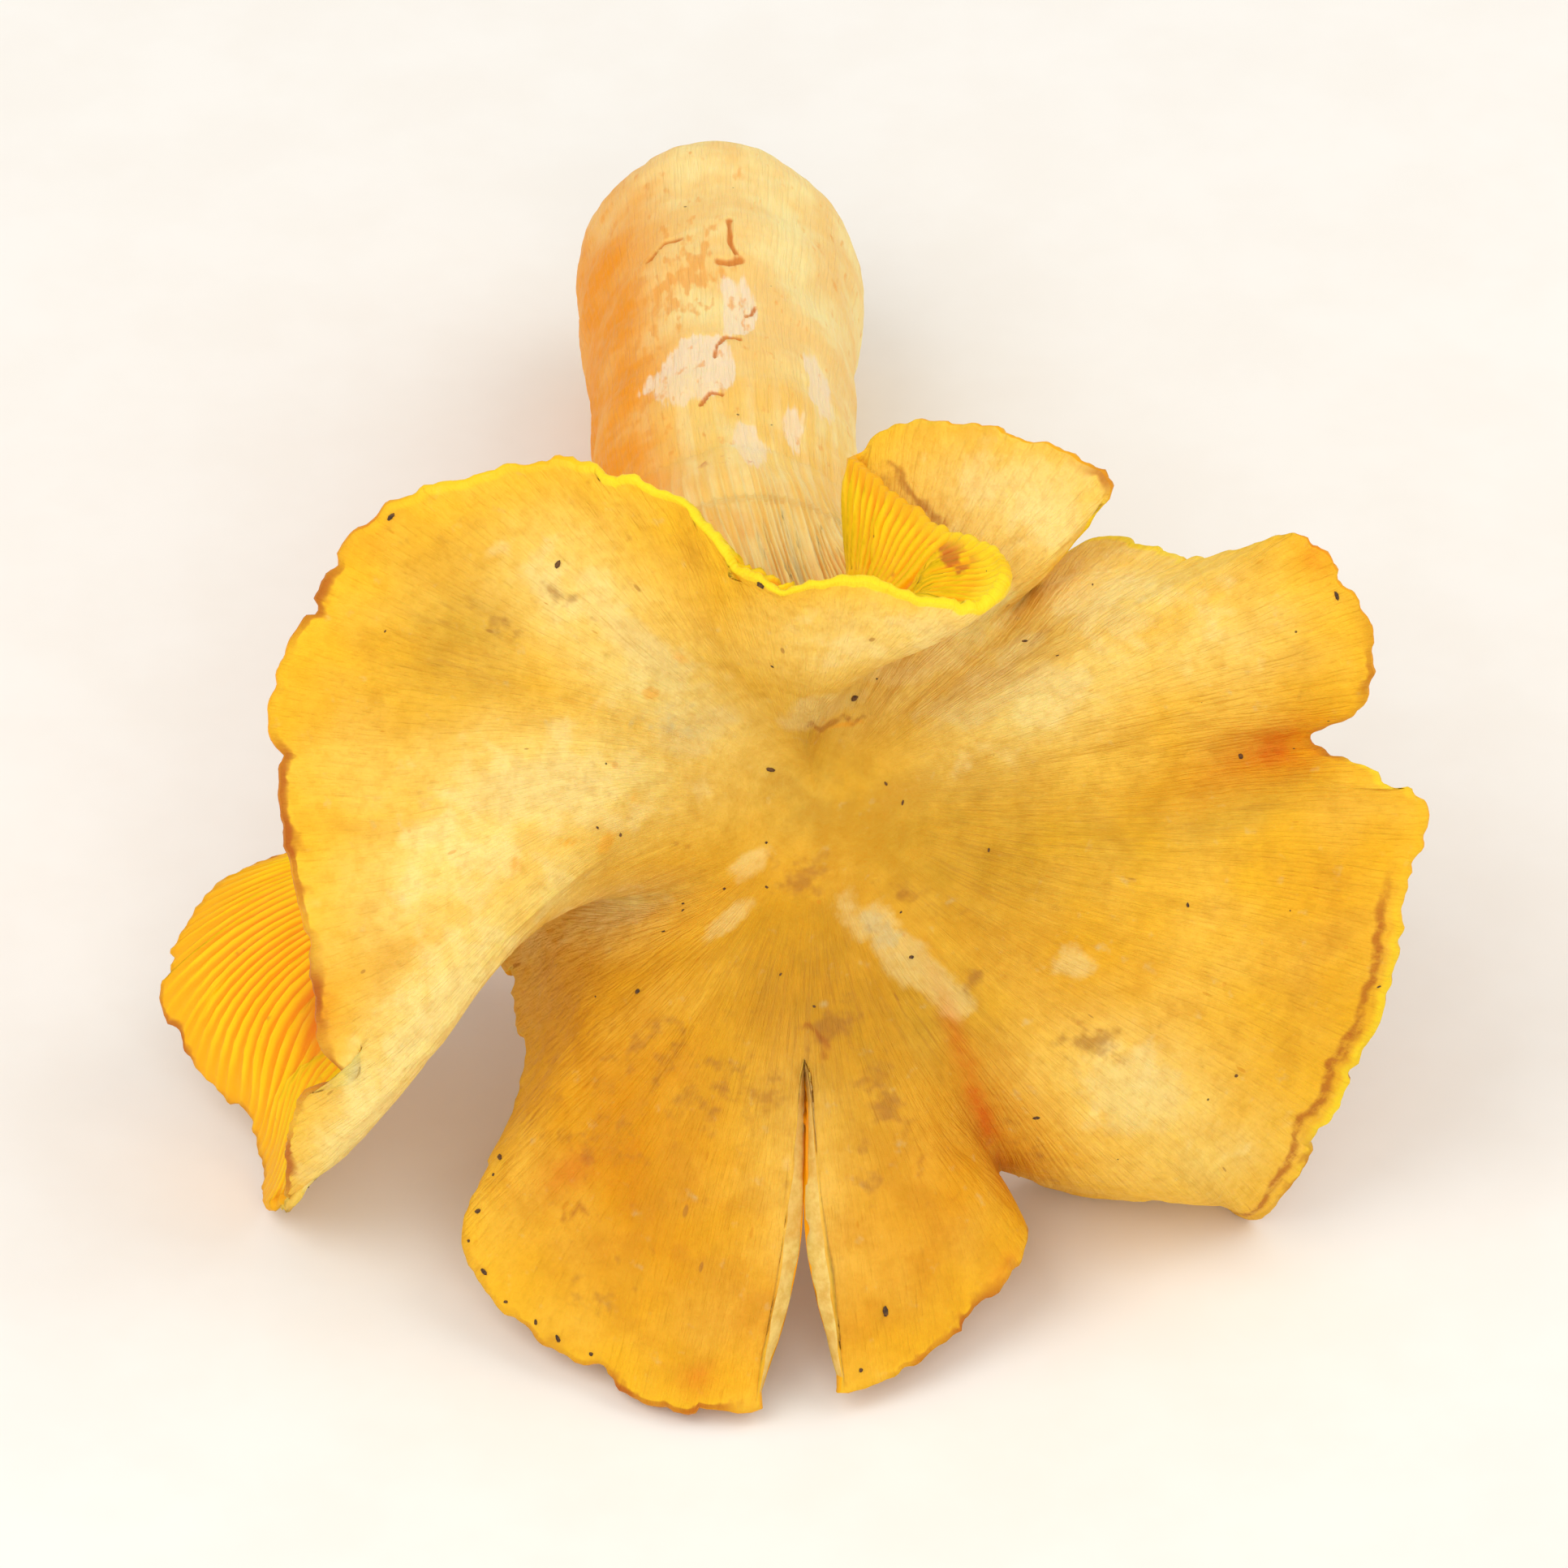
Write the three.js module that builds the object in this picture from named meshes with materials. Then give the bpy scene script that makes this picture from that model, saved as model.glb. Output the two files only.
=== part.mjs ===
// Chanterelle: one mushroom, picked and lying on its side, in one closed solid.
// Millimetres, +Z up. The cap's face looks towards -Y and up, and the stem points to +Y.
// The solid is drawn in the cap's own frame (x across, y up the face, z out of the face)
// as rings of points that run from the middle of the funnel over the rim, back along the
// gill side and down the stem, and it is then tipped onto the three places it rests on.

import * as THREE from 'three';

// Pose: how far the cap's face looks up from level.
const faceElevation = 40;

// Cap.
const rimThickness = 1.25;
const rimBulge = 0.8;
const fleshThickness = 2.5;
const fleshGrowth = 1.15;
const funnelDepth = 4;
const funnelRadius = 9;
const waveReach = 1.7;
const rolledWaveReach = 1.5;
const rollForFullCurl = 8;
const innerSoftness = 15;
const rimSoftness = 0.4;
const straightenBy = 0.85;

// Gill side: flesh that fills tight folds, then a trumpet that runs down into the stem.
const fillWidth = 8;
const fillFrom = 0.15;
const trumpetSoftness = 22;
const trumpetStart = 0.8;
const trumpetBlend = 0.5;
const trumpetFlare = 0.4;
const foldDistance = 12;
const foldThinning = 0.8;
const foldDelay = 0.4;
const innerReach = 0.12;

// Split in the lower lobe.
const splitAngle = 266;
const splitHalfWidth = 2.3;
const splitDepth = 0.55;
const splitEvenReach = 0.38;

// Stem: points down its middle with the radius there.
const stemPoints = [
  [0, 0, -4], [-2.2, 5, -14], [-4.6, 13, -28], [-5.5, 23, -45], [-5.7, 34.4, -67],
];
const stemRadii = [11.5, 9.4, 8.0, 8.0, 8.8];
const stemJoin = 0.42;
const stemShoulder = 0.93;
const stemEndDepth = 0.78;
const stemEndSquareness = 0.62;

// Counts of rings and columns.
const columnCount = 118;
const topRings = 10;
const gillRings = 13;
const stemRings = 5;
const endRings = 3;
const splitColumns = [-1, -0.9, -0.72, -0.42, 0, 0.42, 0.72, 0.9, 1];

// The rim, once round the cap against the clock from the split. Each row has the angle at
// which its spoke leaves the funnel, then the rim's place across, up and out of the face,
// how much the spoke bellies out, and how far it rolls over before it ends.
const rim = [
  // Lower lobe, right of the split.
  [268, 1.3, -33.4, 5.5, 2, 0],
  [276, 7.8, -30.2, 3.5, 3, 0],
  [281, 11.9, -25.2, 1.5, 4, 0],
  [286, 10.4, -21.5, -5, 4, 2],
  // Lower right lobe, with its margin rolled back.
  [293, 13.3, -21.6, -10.5, 5, 5],
  [301, 20, -21.6, -10.8, 8, 7],
  [310, 25.4, -24.1, -7.2, 7, 2],
  [318, 28.4, -19.5, -3, 6, 0],
  [330, 31.3, -13.3, 1, 4, 0],
  [343, 33, -6.5, 4, 2, 0],
  [356, 33.3, 0.8, 5.5, 1, 0],
  [364, 27.9, 3.3, 3, -1, 0],
  // Upper right lobe.
  [370, 30.6, 5, 5.5, 0, 0],
  [378, 30.7, 10.2, 8, 1, 0],
  [387, 26.6, 14.8, 9, 1, 0],
  [394, 21.5, 13.6, 4, 1, 0],
  [401, 15.8, 15, -4, 1, 0],
  [406, 12.6, 12.4, -3, 0, 0],
  // Small upper lobe.
  [411, 14.2, 13.8, 1, 0, 0],
  [416, 16.5, 17.6, 3, -2, 0],
  [422, 12, 20.2, 0.5, -3, 0],
  [429, 4.8, 21.4, -5.5, -3, 0],
  // Pleat that stands towards the front and shows its gills.
  [436, 2.9, 18.8, -4, 0, 0],
  [442, 7.4, 14.9, 4, 1, 0],
  [448, 11, 13, 10, 1.5, 0],
  [454, 9.2, 10.5, 13, 2, 0],
  // Upper left lobe.
  [461, 3, 11.8, 14, 2, 0],
  [471, -3.8, 12.6, 13.5, 2, 0],
  [480, -8.4, 16.8, 12, 2, 0],
  [491, -16.3, 18.6, 9.5, 2, 0],
  [503, -25.4, 14.8, 8, 1, 0],
  [515, -30.2, 6, 8, 1, 0],
  [526, -29.6, -2, 8, 1, 0],
  [537, -28.1, -11.5, 7, 3, 0],
  [547, -29.6, -19, 2, 6, 1],
  // Folded tip on the left.
  [556, -30.8, -23.6, -7, 8, 1],
  // Flap that turns back behind the left lobe.
  [563, -31.9, -18.8, -11.5, 4, 0],
  [568, -37, -12, -13.5, 0, 0],
  [573, -34.4, -5.8, -15, -2, 0],
  [579, -26.5, -3.5, -16.5, -2, 0],
  [586, -18.6, -8, -10.5, -1, 0],
  // Lower lobe, left of the split.
  [593, -16.9, -15.5, -2.5, 2, 0],
  [601, -20, -25.4, 0.3, 3, 0],
  [610, -12.3, -32.3, 4, 2, 0],
  [624, -3.1, -34.2, 6, 2, 0],
];

const radians = THREE.MathUtils.degToRad;
const softStep = (x) => THREE.MathUtils.smoothstep(x, 0, 1);

// Weights of a soft average, as steps of its width either side of the middle.
const softTaps = [-2, -1.5, -1, -0.5, 0, 0.5, 1, 1.5, 2].map((step) => ({
  step,
  weight: Math.exp(-step * step / 2),
}));
const tapTotal = softTaps.reduce((sum, tap) => sum + tap.weight, 0);

// The rim at any angle: a smooth closed curve through its rows, for columns 1 to 5.
function rimAt(angle) {
  const count = rim.length;
  const start = rim[0][0];
  const turned = start + THREE.MathUtils.euclideanModulo(angle - start, 360);
  let index = count - 1;
  while (rim[index][0] > turned) index -= 1;
  const row = (k) => rim[(k + count) % count];
  const rowAngle = (k) => row(k)[0] + 360 * Math.floor(k / count);
  const [a0, a1, a2, a3] = [-1, 0, 1, 2].map((k) => rowAngle(index + k));
  const span = a2 - a1;
  const t = (turned - a1) / span;
  const blend = [
    2 * t ** 3 - 3 * t ** 2 + 1,
    t ** 3 - 2 * t ** 2 + t,
    -2 * t ** 3 + 3 * t ** 2,
    t ** 3 - t ** 2,
  ];
  return [1, 2, 3, 4, 5].map((field) => {
    const [p0, p1, p2, p3] = [-1, 0, 1, 2].map((k) => row(index + k)[field]);
    const before = (p1 - p0) / (a1 - a0);
    const here = (p2 - p1) / span;
    const after = (p3 - p2) / (a3 - a2);
    const slope1 = (before * span + here * (a1 - a0)) / (a2 - a0) * span;
    const slope2 = (here * (a3 - a2) + after * span) / (a3 - a1) * span;
    return blend[0] * p1 + blend[1] * slope1 + blend[2] * p2 + blend[3] * slope2;
  });
}

// The rim averaged over a stretch of angle.
function softRim(angle, width) {
  const sum = [0, 0, 0, 0, 0];
  for (const tap of softTaps) {
    const place = rimAt(angle + tap.step * width);
    place.forEach((value, field) => { sum[field] += value * tap.weight / tapTotal; });
  }
  return sum;
}

// The cap's upper skin at an angle, and at a reach from 0 in the funnel to 1 at the rim.
// Waves of the rim are softened towards the middle, so that folds die out in the funnel.
function skin(angle, reach) {
  const width = innerSoftness * (1 - reach) + rimSoftness;
  const [across, up, out, belly, roll] = softRim(angle, width);
  const length = Math.hypot(across, up);
  const towardsRim = softStep(reach / straightenBy);
  const straight = 1 - towardsRim;
  const curl = roll / length * Math.sin(Math.PI * reach ** 3);
  const x = (reach + curl) * (straight * length * Math.cos(radians(angle)) + towardsRim * across);
  const y = (reach + curl) * (straight * length * Math.sin(radians(angle)) + towardsRim * up);
  const dish = 1 - Math.exp(-((x * x + y * y) / funnelRadius ** 2));
  const fall = waveReach + rolledWaveReach * THREE.MathUtils.clamp(roll / rollForFullCurl, 0, 1);
  const bulge = belly * Math.sin(Math.PI * reach ** 1.3) * reach ** 0.3;
  const z = out * reach ** fall + bulge + funnelDepth * dish * (1 - reach ** 2);
  return new THREE.Vector3(x, y, z);
}

// The direction out of the upper skin.
function skinNormal(angle, reach) {
  const side = 0.8;
  const step = 0.01;
  const across = skin(angle + side, reach).sub(skin(angle - side, reach));
  const outwards = skin(angle, Math.min(reach + step, 1));
  outwards.sub(skin(angle, Math.max(reach - step, 0)));
  return outwards.cross(across).normalize();
}

// How strongly the rim is folded at an angle, from 0 to 1.
function foldAt(angle) {
  const near = rimAt(angle);
  const soft = softRim(angle, trumpetSoftness);
  const distance = Math.hypot(near[0] - soft[0], near[1] - soft[1], near[2] - soft[2]);
  return Math.min(distance / foldDistance, 1);
}

function thicknessAt(angle, reach) {
  const growth = (fleshThickness - rimThickness) * (1 - foldThinning * foldAt(angle));
  return rimThickness + growth * (1 - reach) ** fleshGrowth;
}

// The gill side straight below the skin.
function underSkin(angle, reach) {
  const kept = Math.max(reach, innerReach);
  const normal = skinNormal(angle, kept);
  return skin(angle, kept).addScaledVector(normal, -thicknessAt(angle, reach));
}

// The same with flesh in the hollow of each tight fold.
function filledUnderSkin(angle, reach) {
  const kept = Math.max(reach, innerReach);
  const straight = underSkin(angle, reach);
  const softSkin = new THREE.Vector3();
  const softUnder = new THREE.Vector3();
  for (const tap of softTaps) {
    const share = tap.weight / tapTotal;
    const turned = angle + tap.step * fillWidth;
    softSkin.addScaledVector(skin(turned, kept), share);
    softUnder.addScaledVector(underSkin(turned, reach), share);
  }
  const hollow = -softSkin.sub(skin(angle, kept)).dot(skinNormal(angle, kept));
  const fill = softStep(hollow) * softStep((1 - reach) / fillFrom);
  return straight.lerp(softUnder, fill);
}

// The stem's middle line and radius at a share of its length.
const stemLine = new THREE.CatmullRomCurve3(
  stemPoints.map((point) => new THREE.Vector3(...point)), false, 'catmullrom', 0.5);

function stemRadiusAt(share) {
  const place = share * (stemRadii.length - 1);
  const index = Math.min(Math.floor(place), stemRadii.length - 2);
  return THREE.MathUtils.lerp(stemRadii[index], stemRadii[index + 1], softStep(place - index));
}

function stemPoint(angle, share, shrink = 1) {
  const along = stemLine.getTangent(share);
  const sideways = new THREE.Vector3(1, 0, 0).projectOnPlane(along).normalize();
  const upwards = new THREE.Vector3().crossVectors(sideways, along).normalize();
  if (upwards.y < 0) upwards.negate();
  const radius = stemRadiusAt(share) * shrink;
  return stemLine.getPoint(share)
    .addScaledVector(sideways, radius * Math.cos(radians(angle)))
    .addScaledVector(upwards, radius * Math.sin(radians(angle)));
}

// The trumpet between the stem and the rim, as one bent spoke per angle.
function trumpetPoint(angle, reach) {
  const [across, up, out] = softRim(angle, trumpetSoftness);
  const outer = new THREE.Vector3(across, up, out - rimThickness);
  const inner = stemPoint(angle, stemJoin);
  const along = stemLine.getTangent(stemJoin);
  const bend = inner.clone().addScaledVector(along, -outer.distanceTo(inner) * trumpetFlare);
  return new THREE.QuadraticBezierCurve3(inner, bend, outer).getPoint(reach);
}

function gillSide(angle, reach) {
  const start = trumpetStart - foldDelay * foldAt(angle);
  const share = softStep((start - reach) / Math.min(trumpetBlend, start));
  return filledUnderSkin(angle, reach).lerp(trumpetPoint(angle, reach), share);
}

// How far the skin reaches at an angle: all the way, except in the straight-sided split.
function reachAt(angle) {
  const turned = THREE.MathUtils.euclideanModulo(angle - splitAngle + 180, 360) - 180;
  const share = Math.min(Math.abs(turned) / splitHalfWidth, 1);
  return (1 - splitDepth) / (1 - share * splitDepth);
}

// The reach of one ring at an angle. Rings stay round up to the split's inner end.
function ringReach(angle, share) {
  const outer = Math.max(share - splitEvenReach, 0) / (1 - splitEvenReach);
  return Math.min(share, splitEvenReach) + outer * (reachAt(angle) - splitEvenReach);
}

// Angles of the columns: even steps between equal turns and equal lengths of rim, so that
// folds get more of them, with the split's own columns between.
function columnAngles() {
  const samples = 1440;
  const cost = [0];
  let before = rimAt(splitAngle);
  const lengths = [0];
  for (let k = 1; k <= samples; k += 1) {
    const place = rimAt(splitAngle + k * 360 / samples);
    lengths.push(Math.hypot(place[0] - before[0], place[1] - before[1], place[2] - before[2]));
    before = place;
  }
  const total = lengths.reduce((sum, value) => sum + value, 0);
  for (let k = 1; k <= samples; k += 1) {
    cost.push(cost[k - 1] + 0.5 / samples + 0.5 * lengths[k] / total);
  }
  const angles = splitColumns.map((share) => splitAngle + share * splitHalfWidth);
  let sample = 0;
  for (let column = 1; column < columnCount; column += 1) {
    while (cost[sample] < column / columnCount) sample += 1;
    const turned = sample * 360 / samples;
    const clearance = 1.4 * splitHalfWidth;
    if (turned > clearance && turned < 360 - clearance) angles.push(splitAngle + turned);
  }
  return angles;
}

// One ring of points for each step from the funnel to the end of the stem.
function ringsOfPoints(angles) {
  const rings = [];
  for (let k = 1; k <= topRings; k += 1) {
    rings.push(angles.map((angle) => skin(angle, ringReach(angle, k / topRings))));
  }
  rings.push(...edgeRings(angles, rings[rings.length - 1]));
  for (let k = 0; k < gillRings; k += 1) {
    const share = 1 - k / (gillRings - 1);
    rings.push(angles.map((angle) => gillSide(angle, ringReach(angle, share))));
  }
  for (let k = 1; k <= stemRings; k += 1) {
    const share = THREE.MathUtils.lerp(stemJoin, stemShoulder, k / stemRings);
    rings.push(angles.map((angle) => stemPoint(angle, share)));
  }
  for (let k = 1; k < endRings; k += 1) {
    const turn = Math.PI / 2 * k / endRings;
    rings.push(angles.map((angle) => stemPoint(angle, stemShoulder, Math.cos(turn) ** stemEndSquareness)
      .addScaledVector(stemEndStep(), Math.sin(turn))));
  }
  return rings;
}

// From the middle of the stem's shoulder to the tip of its rounded end.
function stemEndStep() {
  const depth = stemRadiusAt(stemShoulder) * stemEndDepth;
  return stemLine.getTangent(stemShoulder).multiplyScalar(depth);
}

// The rounded edge of the rim, square to the rim's own line, and flat where it is split.
function edgeRings(angles, lastRing) {
  const count = angles.length;
  const turns = [60, 120].map(radians);
  return turns.map((turn) => lastRing.map((point, column) => {
    const normal = skinNormal(angles[column], reachAt(angles[column]));
    const line = lastRing[(column + 1) % count].clone();
    line.sub(lastRing[(column + count - 1) % count]);
    const outwards = line.cross(normal).normalize();
    const reach = reachAt(angles[column]);
    const half = thicknessAt(angles[column], reach) / 2;
    const bulge = reach < 1 ? 0 : rimBulge;
    return point.clone()
      .addScaledVector(normal, half * (Math.cos(turn) - 1))
      .addScaledVector(outwards, half * bulge * Math.sin(turn));
  }));
}

// Joins the rings into one closed surface with a point at each end.
function closedSurface(rings, firstPoint, lastPoint) {
  const columns = rings[0].length;
  const points = rings.flat();
  const first = points.push(firstPoint) - 1;
  const last = points.push(lastPoint) - 1;
  const index = [];
  for (let column = 0; column < columns; column += 1) {
    const next = (column + 1) % columns;
    index.push(first, column, next);
    for (let ring = 0; ring < rings.length - 1; ring += 1) {
      const here = ring * columns;
      const below = here + columns;
      index.push(here + column, below + column, below + next);
      index.push(here + column, below + next, here + next);
    }
    const end = (rings.length - 1) * columns;
    index.push(end + column, last, end + next);
  }
  const geometry = new THREE.BufferGeometry();
  geometry.setFromPoints(points);
  geometry.setIndex(index);
  geometry.computeVertexNormals();
  return geometry;
}

function mushroom() {
  const angles = columnAngles();
  const stemTip = stemLine.getPoint(stemShoulder).add(stemEndStep());
  const geometry = closedSurface(ringsOfPoints(angles), skin(0, 0), stemTip);
  const material = new THREE.MeshStandardMaterial({
    color: 0xe0ac55,
    roughness: 0.62,
    metalness: 0,
  });
  const mesh = new THREE.Mesh(geometry, material);
  mesh.name = 'chanterelle';
  return mesh;
}

// Tips the mushroom onto its resting places and centres it over the origin.
function layDown(mesh) {
  mesh.rotation.x = radians(90 - faceElevation);
  mesh.updateMatrixWorld(true);
  const bounds = new THREE.Box3().setFromObject(mesh, true);
  const centre = bounds.getCenter(new THREE.Vector3());
  mesh.position.set(-centre.x, -centre.y, -bounds.min.z);
  return mesh;
}

const group = new THREE.Group();
group.add(layDown(mushroom()));

export default group;
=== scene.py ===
# Chanterelle: one picked mushroom lying on its side.
# Shapes are worked out in millimetres in the cap's own frame (across, up the face, out of
# the face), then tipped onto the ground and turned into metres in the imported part's frame.
import bpy
import math
import numpy as np
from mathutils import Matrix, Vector


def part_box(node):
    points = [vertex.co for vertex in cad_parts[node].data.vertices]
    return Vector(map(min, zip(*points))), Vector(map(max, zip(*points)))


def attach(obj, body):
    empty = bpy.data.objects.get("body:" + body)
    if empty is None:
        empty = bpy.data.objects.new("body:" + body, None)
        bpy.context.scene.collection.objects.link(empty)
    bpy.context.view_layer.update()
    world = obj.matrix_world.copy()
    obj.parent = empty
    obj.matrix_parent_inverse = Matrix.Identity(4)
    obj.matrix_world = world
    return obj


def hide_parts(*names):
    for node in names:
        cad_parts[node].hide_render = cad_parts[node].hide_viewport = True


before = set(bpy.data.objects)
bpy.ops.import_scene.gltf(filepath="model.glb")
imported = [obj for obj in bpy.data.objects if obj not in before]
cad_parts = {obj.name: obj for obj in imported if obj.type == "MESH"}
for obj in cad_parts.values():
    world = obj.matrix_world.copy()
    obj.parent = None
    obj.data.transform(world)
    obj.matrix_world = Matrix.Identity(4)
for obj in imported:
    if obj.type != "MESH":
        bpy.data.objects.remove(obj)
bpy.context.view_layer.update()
nodeLow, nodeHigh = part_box("chanterelle")
print("frame loaded")


def softStep(x):
    x = np.clip(x, 0, 1)
    return x * x * (3 - 2 * x)


def unit(v):
    return v / np.maximum(np.linalg.norm(v, axis=-1, keepdims=True), 1e-9)


def mixed(a, b, share):
    return a + (b - a) * share


# Share along a straight step from its start, and the distance from it, for places measured
# from that start.
def alongStep(x, y, dx, dy):
    k = np.clip((x * dx + y * dy) / (dx * dx + dy * dy), 0, 1)
    return k, np.hypot(x - k * dx, y - k * dy)


def colour(code):
    parts = [int(code[k:k + 2], 16) / 255 for k in (0, 2, 4)]
    linear = [c / 12.92 if c <= 0.04045 else ((c + 0.055) / 1.055) ** 2.4 for c in parts]
    return (*linear, 1)


noiseSeed = 11
noiseTable = np.random.default_rng(noiseSeed)
noiseOrder = noiseTable.permutation(512)
noiseValues = noiseTable.uniform(-1, 1, 512)


# Smooth noise in three dimensions, about -1 to 1, with lumps of the given size.
def noise(points, size, layer=0):
    p = np.asarray(points, float) / size + layer * 17.31
    cell = np.floor(p).astype(int)
    f = p - cell
    f = f * f * f * (f * (f * 6 - 15) + 10)
    total = 0
    for i in (0, 1):
        for j in (0, 1):
            for k in (0, 1):
                a = noiseOrder[(cell[..., 0] + i) & 511]
                b = noiseOrder[(a + cell[..., 1] + j) & 511]
                c = noiseOrder[(b + cell[..., 2] + k) & 511]
                w = (f[..., 0] if i else 1 - f[..., 0])
                w = w * (f[..., 1] if j else 1 - f[..., 1])
                w = w * (f[..., 2] if k else 1 - f[..., 2])
                total = total + w * noiseValues[c]
    return total


# Places squeezed along the fibres, so that noise read at them is drawn out that way.
def drawnOut(fibre, amount):
    return fibre * np.array([1, 1, amount])


def layeredNoise(points, size, layer=0, octaves=3):
    total, weight = 0, 0
    for octave in range(octaves):
        share = 0.55 ** octave
        total = total + share * noise(points, size / 2 ** octave, layer + octave)
        weight += share
    return total / weight


capShape = dict(
    faceElevation=40,
    rimThickness=0.85, rimBulge=0.8, fleshThickness=2.5, fleshGrowth=1.15,
    funnelDepth=4, funnelRadius=9,
    waveReach=1.7, rolledWaveReach=1.5, rollForFullCurl=8,
    innerSoftness=15, rimSoftness=0.4, straightenBy=0.85,
    fillWidth=8, fillFrom=0.15,
    trumpetSoftness=22, trumpetStart=0.8, trumpetBlend=0.5, trumpetFlare=0.4,
    foldDistance=12, foldThinning=0.8, foldDelay=0.4, innerReach=0.12,
    splitAngle=266, splitHalfWidth=2.3, splitDepth=0.55, splitEvenReach=0.38, splitCurve=1.6,
    # hidden folds made softer: spoke angle, half width, how soft, within what reach, its fade
    softFold=(434, 20, 9, 0.55, 0.25),
)
stemShape = dict(
    points=[(0, 0, -4), (-2.2, 5, -14), (-4.6, 13, -28), (-5.5, 23, -45), (-5.7, 34.4, -67)],
    radii=[11.5, 9.4, 8.0, 8.0, 8.8],
    join=0.42, shoulder=0.93, endDepth=0.78, endSquareness=0.62,
)

# The rim once round: spoke angle, then across, up, out, belly and roll.
rim = np.array([
    # lower lobe, right of the split
    (268, 1.3, -33.4, 5.5, 2, 0), (276, 7.8, -30.2, 3.5, 3, 0),
    (281, 11.9, -25.2, 1.5, 4, 0), (286, 10.4, -21.5, -5, 4, 2),
    # lower right lobe, with its margin rolled back
    (293, 13.3, -21.6, -10.5, 5, 5), (301, 20, -21.6, -10.8, 8, 7),
    (310, 25.4, -24.1, -7.2, 7, 2), (318, 28.4, -19.5, -3, 6, 0),
    (330, 31.3, -13.3, 1, 4, 0), (343, 33, -6.5, 4, 2, 0),
    (356, 33.3, 0.8, 5.5, 1, 0), (364, 27.9, 3.3, 3, -1, 0),
    # upper right lobe
    (370, 30.6, 5, 5.5, 0, 0), (378, 30.7, 10.2, 8, 1, 0),
    (387, 26.6, 14.8, 9, 1, 0), (394, 21.5, 13.6, 4, 1, 0),
    (401, 15.8, 15, -4, 1, 0), (406, 12.6, 12.4, -3, 0, 0),
    # small upper lobe
    (411, 14.2, 13.8, 1, 0, 0), (416, 16.5, 17.6, 3, -2, 0),
    (422, 12, 20.2, 0.5, -3, 0), (429, 4.8, 21.4, -5.5, -3, 0),
    # pleat that stands towards the front and shows its gills
    (436, 2.9, 18.8, -4, 0, 0), (442, 7.4, 14.9, 4, 1, 0),
    (448, 11, 13, 10, 1.5, 0), (454, 9.2, 10.5, 13, 2, 0),
    # upper left lobe
    (461, 3, 11.8, 14, 2, 0), (471, -3.8, 12.6, 13.5, 2, 0),
    (480, -8.4, 16.8, 12, 2, 0), (491, -16.3, 18.6, 9.5, 2, 0),
    (503, -25.4, 14.8, 8, 1, 0), (515, -30.2, 6, 8, 1, 0),
    (526, -29.6, -2, 8, 1, 0), (537, -28.1, -11.5, 7, 3, 0),
    (547, -29.6, -19, 2, 6, 1),
    # folded tip on the left
    (556, -30.8, -23.6, -7, 8, 1),
    # flap that turns back behind the left lobe
    (563, -31.9, -18.8, -11.5, 4, 0), (568, -37, -12, -13.5, 0, 0),
    (573, -34.4, -5.8, -15, -2, 0), (579, -26.5, -3.5, -16.5, -2, 0),
    (586, -18.6, -8, -10.5, -1, 0),
    # lower lobe, left of the split
    (593, -16.9, -15.5, -2.5, 2, 0), (601, -20, -25.4, 0.3, 3, 0),
    (610, -12.3, -32.3, 4, 2, 0), (624, -3.1, -34.2, 6, 2, 0),
], float)

rimAngles = np.concatenate([rim[-2:, 0] - 360, rim[:, 0], rim[:3, 0] + 360])
rimValues = np.concatenate([rim[-2:, 1:], rim[:, 1:], rim[:3, 1:]])
tapSteps = np.arange(-2, 2.01, 0.5)
tapWeights = np.exp(-tapSteps ** 2 / 2)
tapWeights /= tapWeights.sum()


def rimAt(angle):
    turned = (np.asarray(angle, float) - rim[0, 0]) % 360 + rim[0, 0]
    k = np.clip(np.searchsorted(rimAngles, turned, side="right") - 1, 1, len(rimAngles) - 3)
    a0, a1, a2, a3 = (rimAngles[k + n][..., None] for n in (-1, 0, 1, 2))
    p0, p1, p2, p3 = (rimValues[k + n] for n in (-1, 0, 1, 2))
    span = a2 - a1
    t = (turned[..., None] - a1) / span
    before, here, after = (p1 - p0) / (a1 - a0), (p2 - p1) / span, (p3 - p2) / (a3 - a2)
    slope1 = (before * span + here * (a1 - a0)) / (a2 - a0) * span
    slope2 = (here * (a3 - a2) + after * span) / (a3 - a1) * span
    t2, t3 = t * t, t ** 3
    return ((2 * t3 - 3 * t2 + 1) * p1 + (t3 - 2 * t2 + t) * slope1
            + (3 * t2 - 2 * t3) * p2 + (t3 - t2) * slope2)


def softRim(angle, width):
    return sum(w * rimAt(angle + s * width) for s, w in zip(tapSteps, tapWeights))


def skin(angle, reach):
    c = capShape
    angle, reach = np.broadcast_arrays(np.asarray(angle, float), np.asarray(reach, float))
    place = softRim(angle, c["innerSoftness"] * (1 - reach) + c["rimSoftness"])
    across, up, out, belly, roll = (place[..., k] for k in range(5))
    length = np.hypot(across, up)
    towardsRim = softStep(reach / c["straightenBy"])
    curl = roll / length * np.sin(np.pi * reach ** 3)
    turn = np.radians(angle)
    x = (reach + curl) * ((1 - towardsRim) * length * np.cos(turn) + towardsRim * across)
    y = (reach + curl) * ((1 - towardsRim) * length * np.sin(turn) + towardsRim * up)
    dish = 1 - np.exp(-(x * x + y * y) / c["funnelRadius"] ** 2)
    fall = c["waveReach"] + c["rolledWaveReach"] * np.clip(roll / c["rollForFullCurl"], 0, 1)
    bulge = belly * np.sin(np.pi * reach ** 1.3) * reach ** 0.3
    z = out * reach ** fall + bulge + c["funnelDepth"] * dish * (1 - reach ** 2)
    return np.stack([x, y, z], -1)


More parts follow.
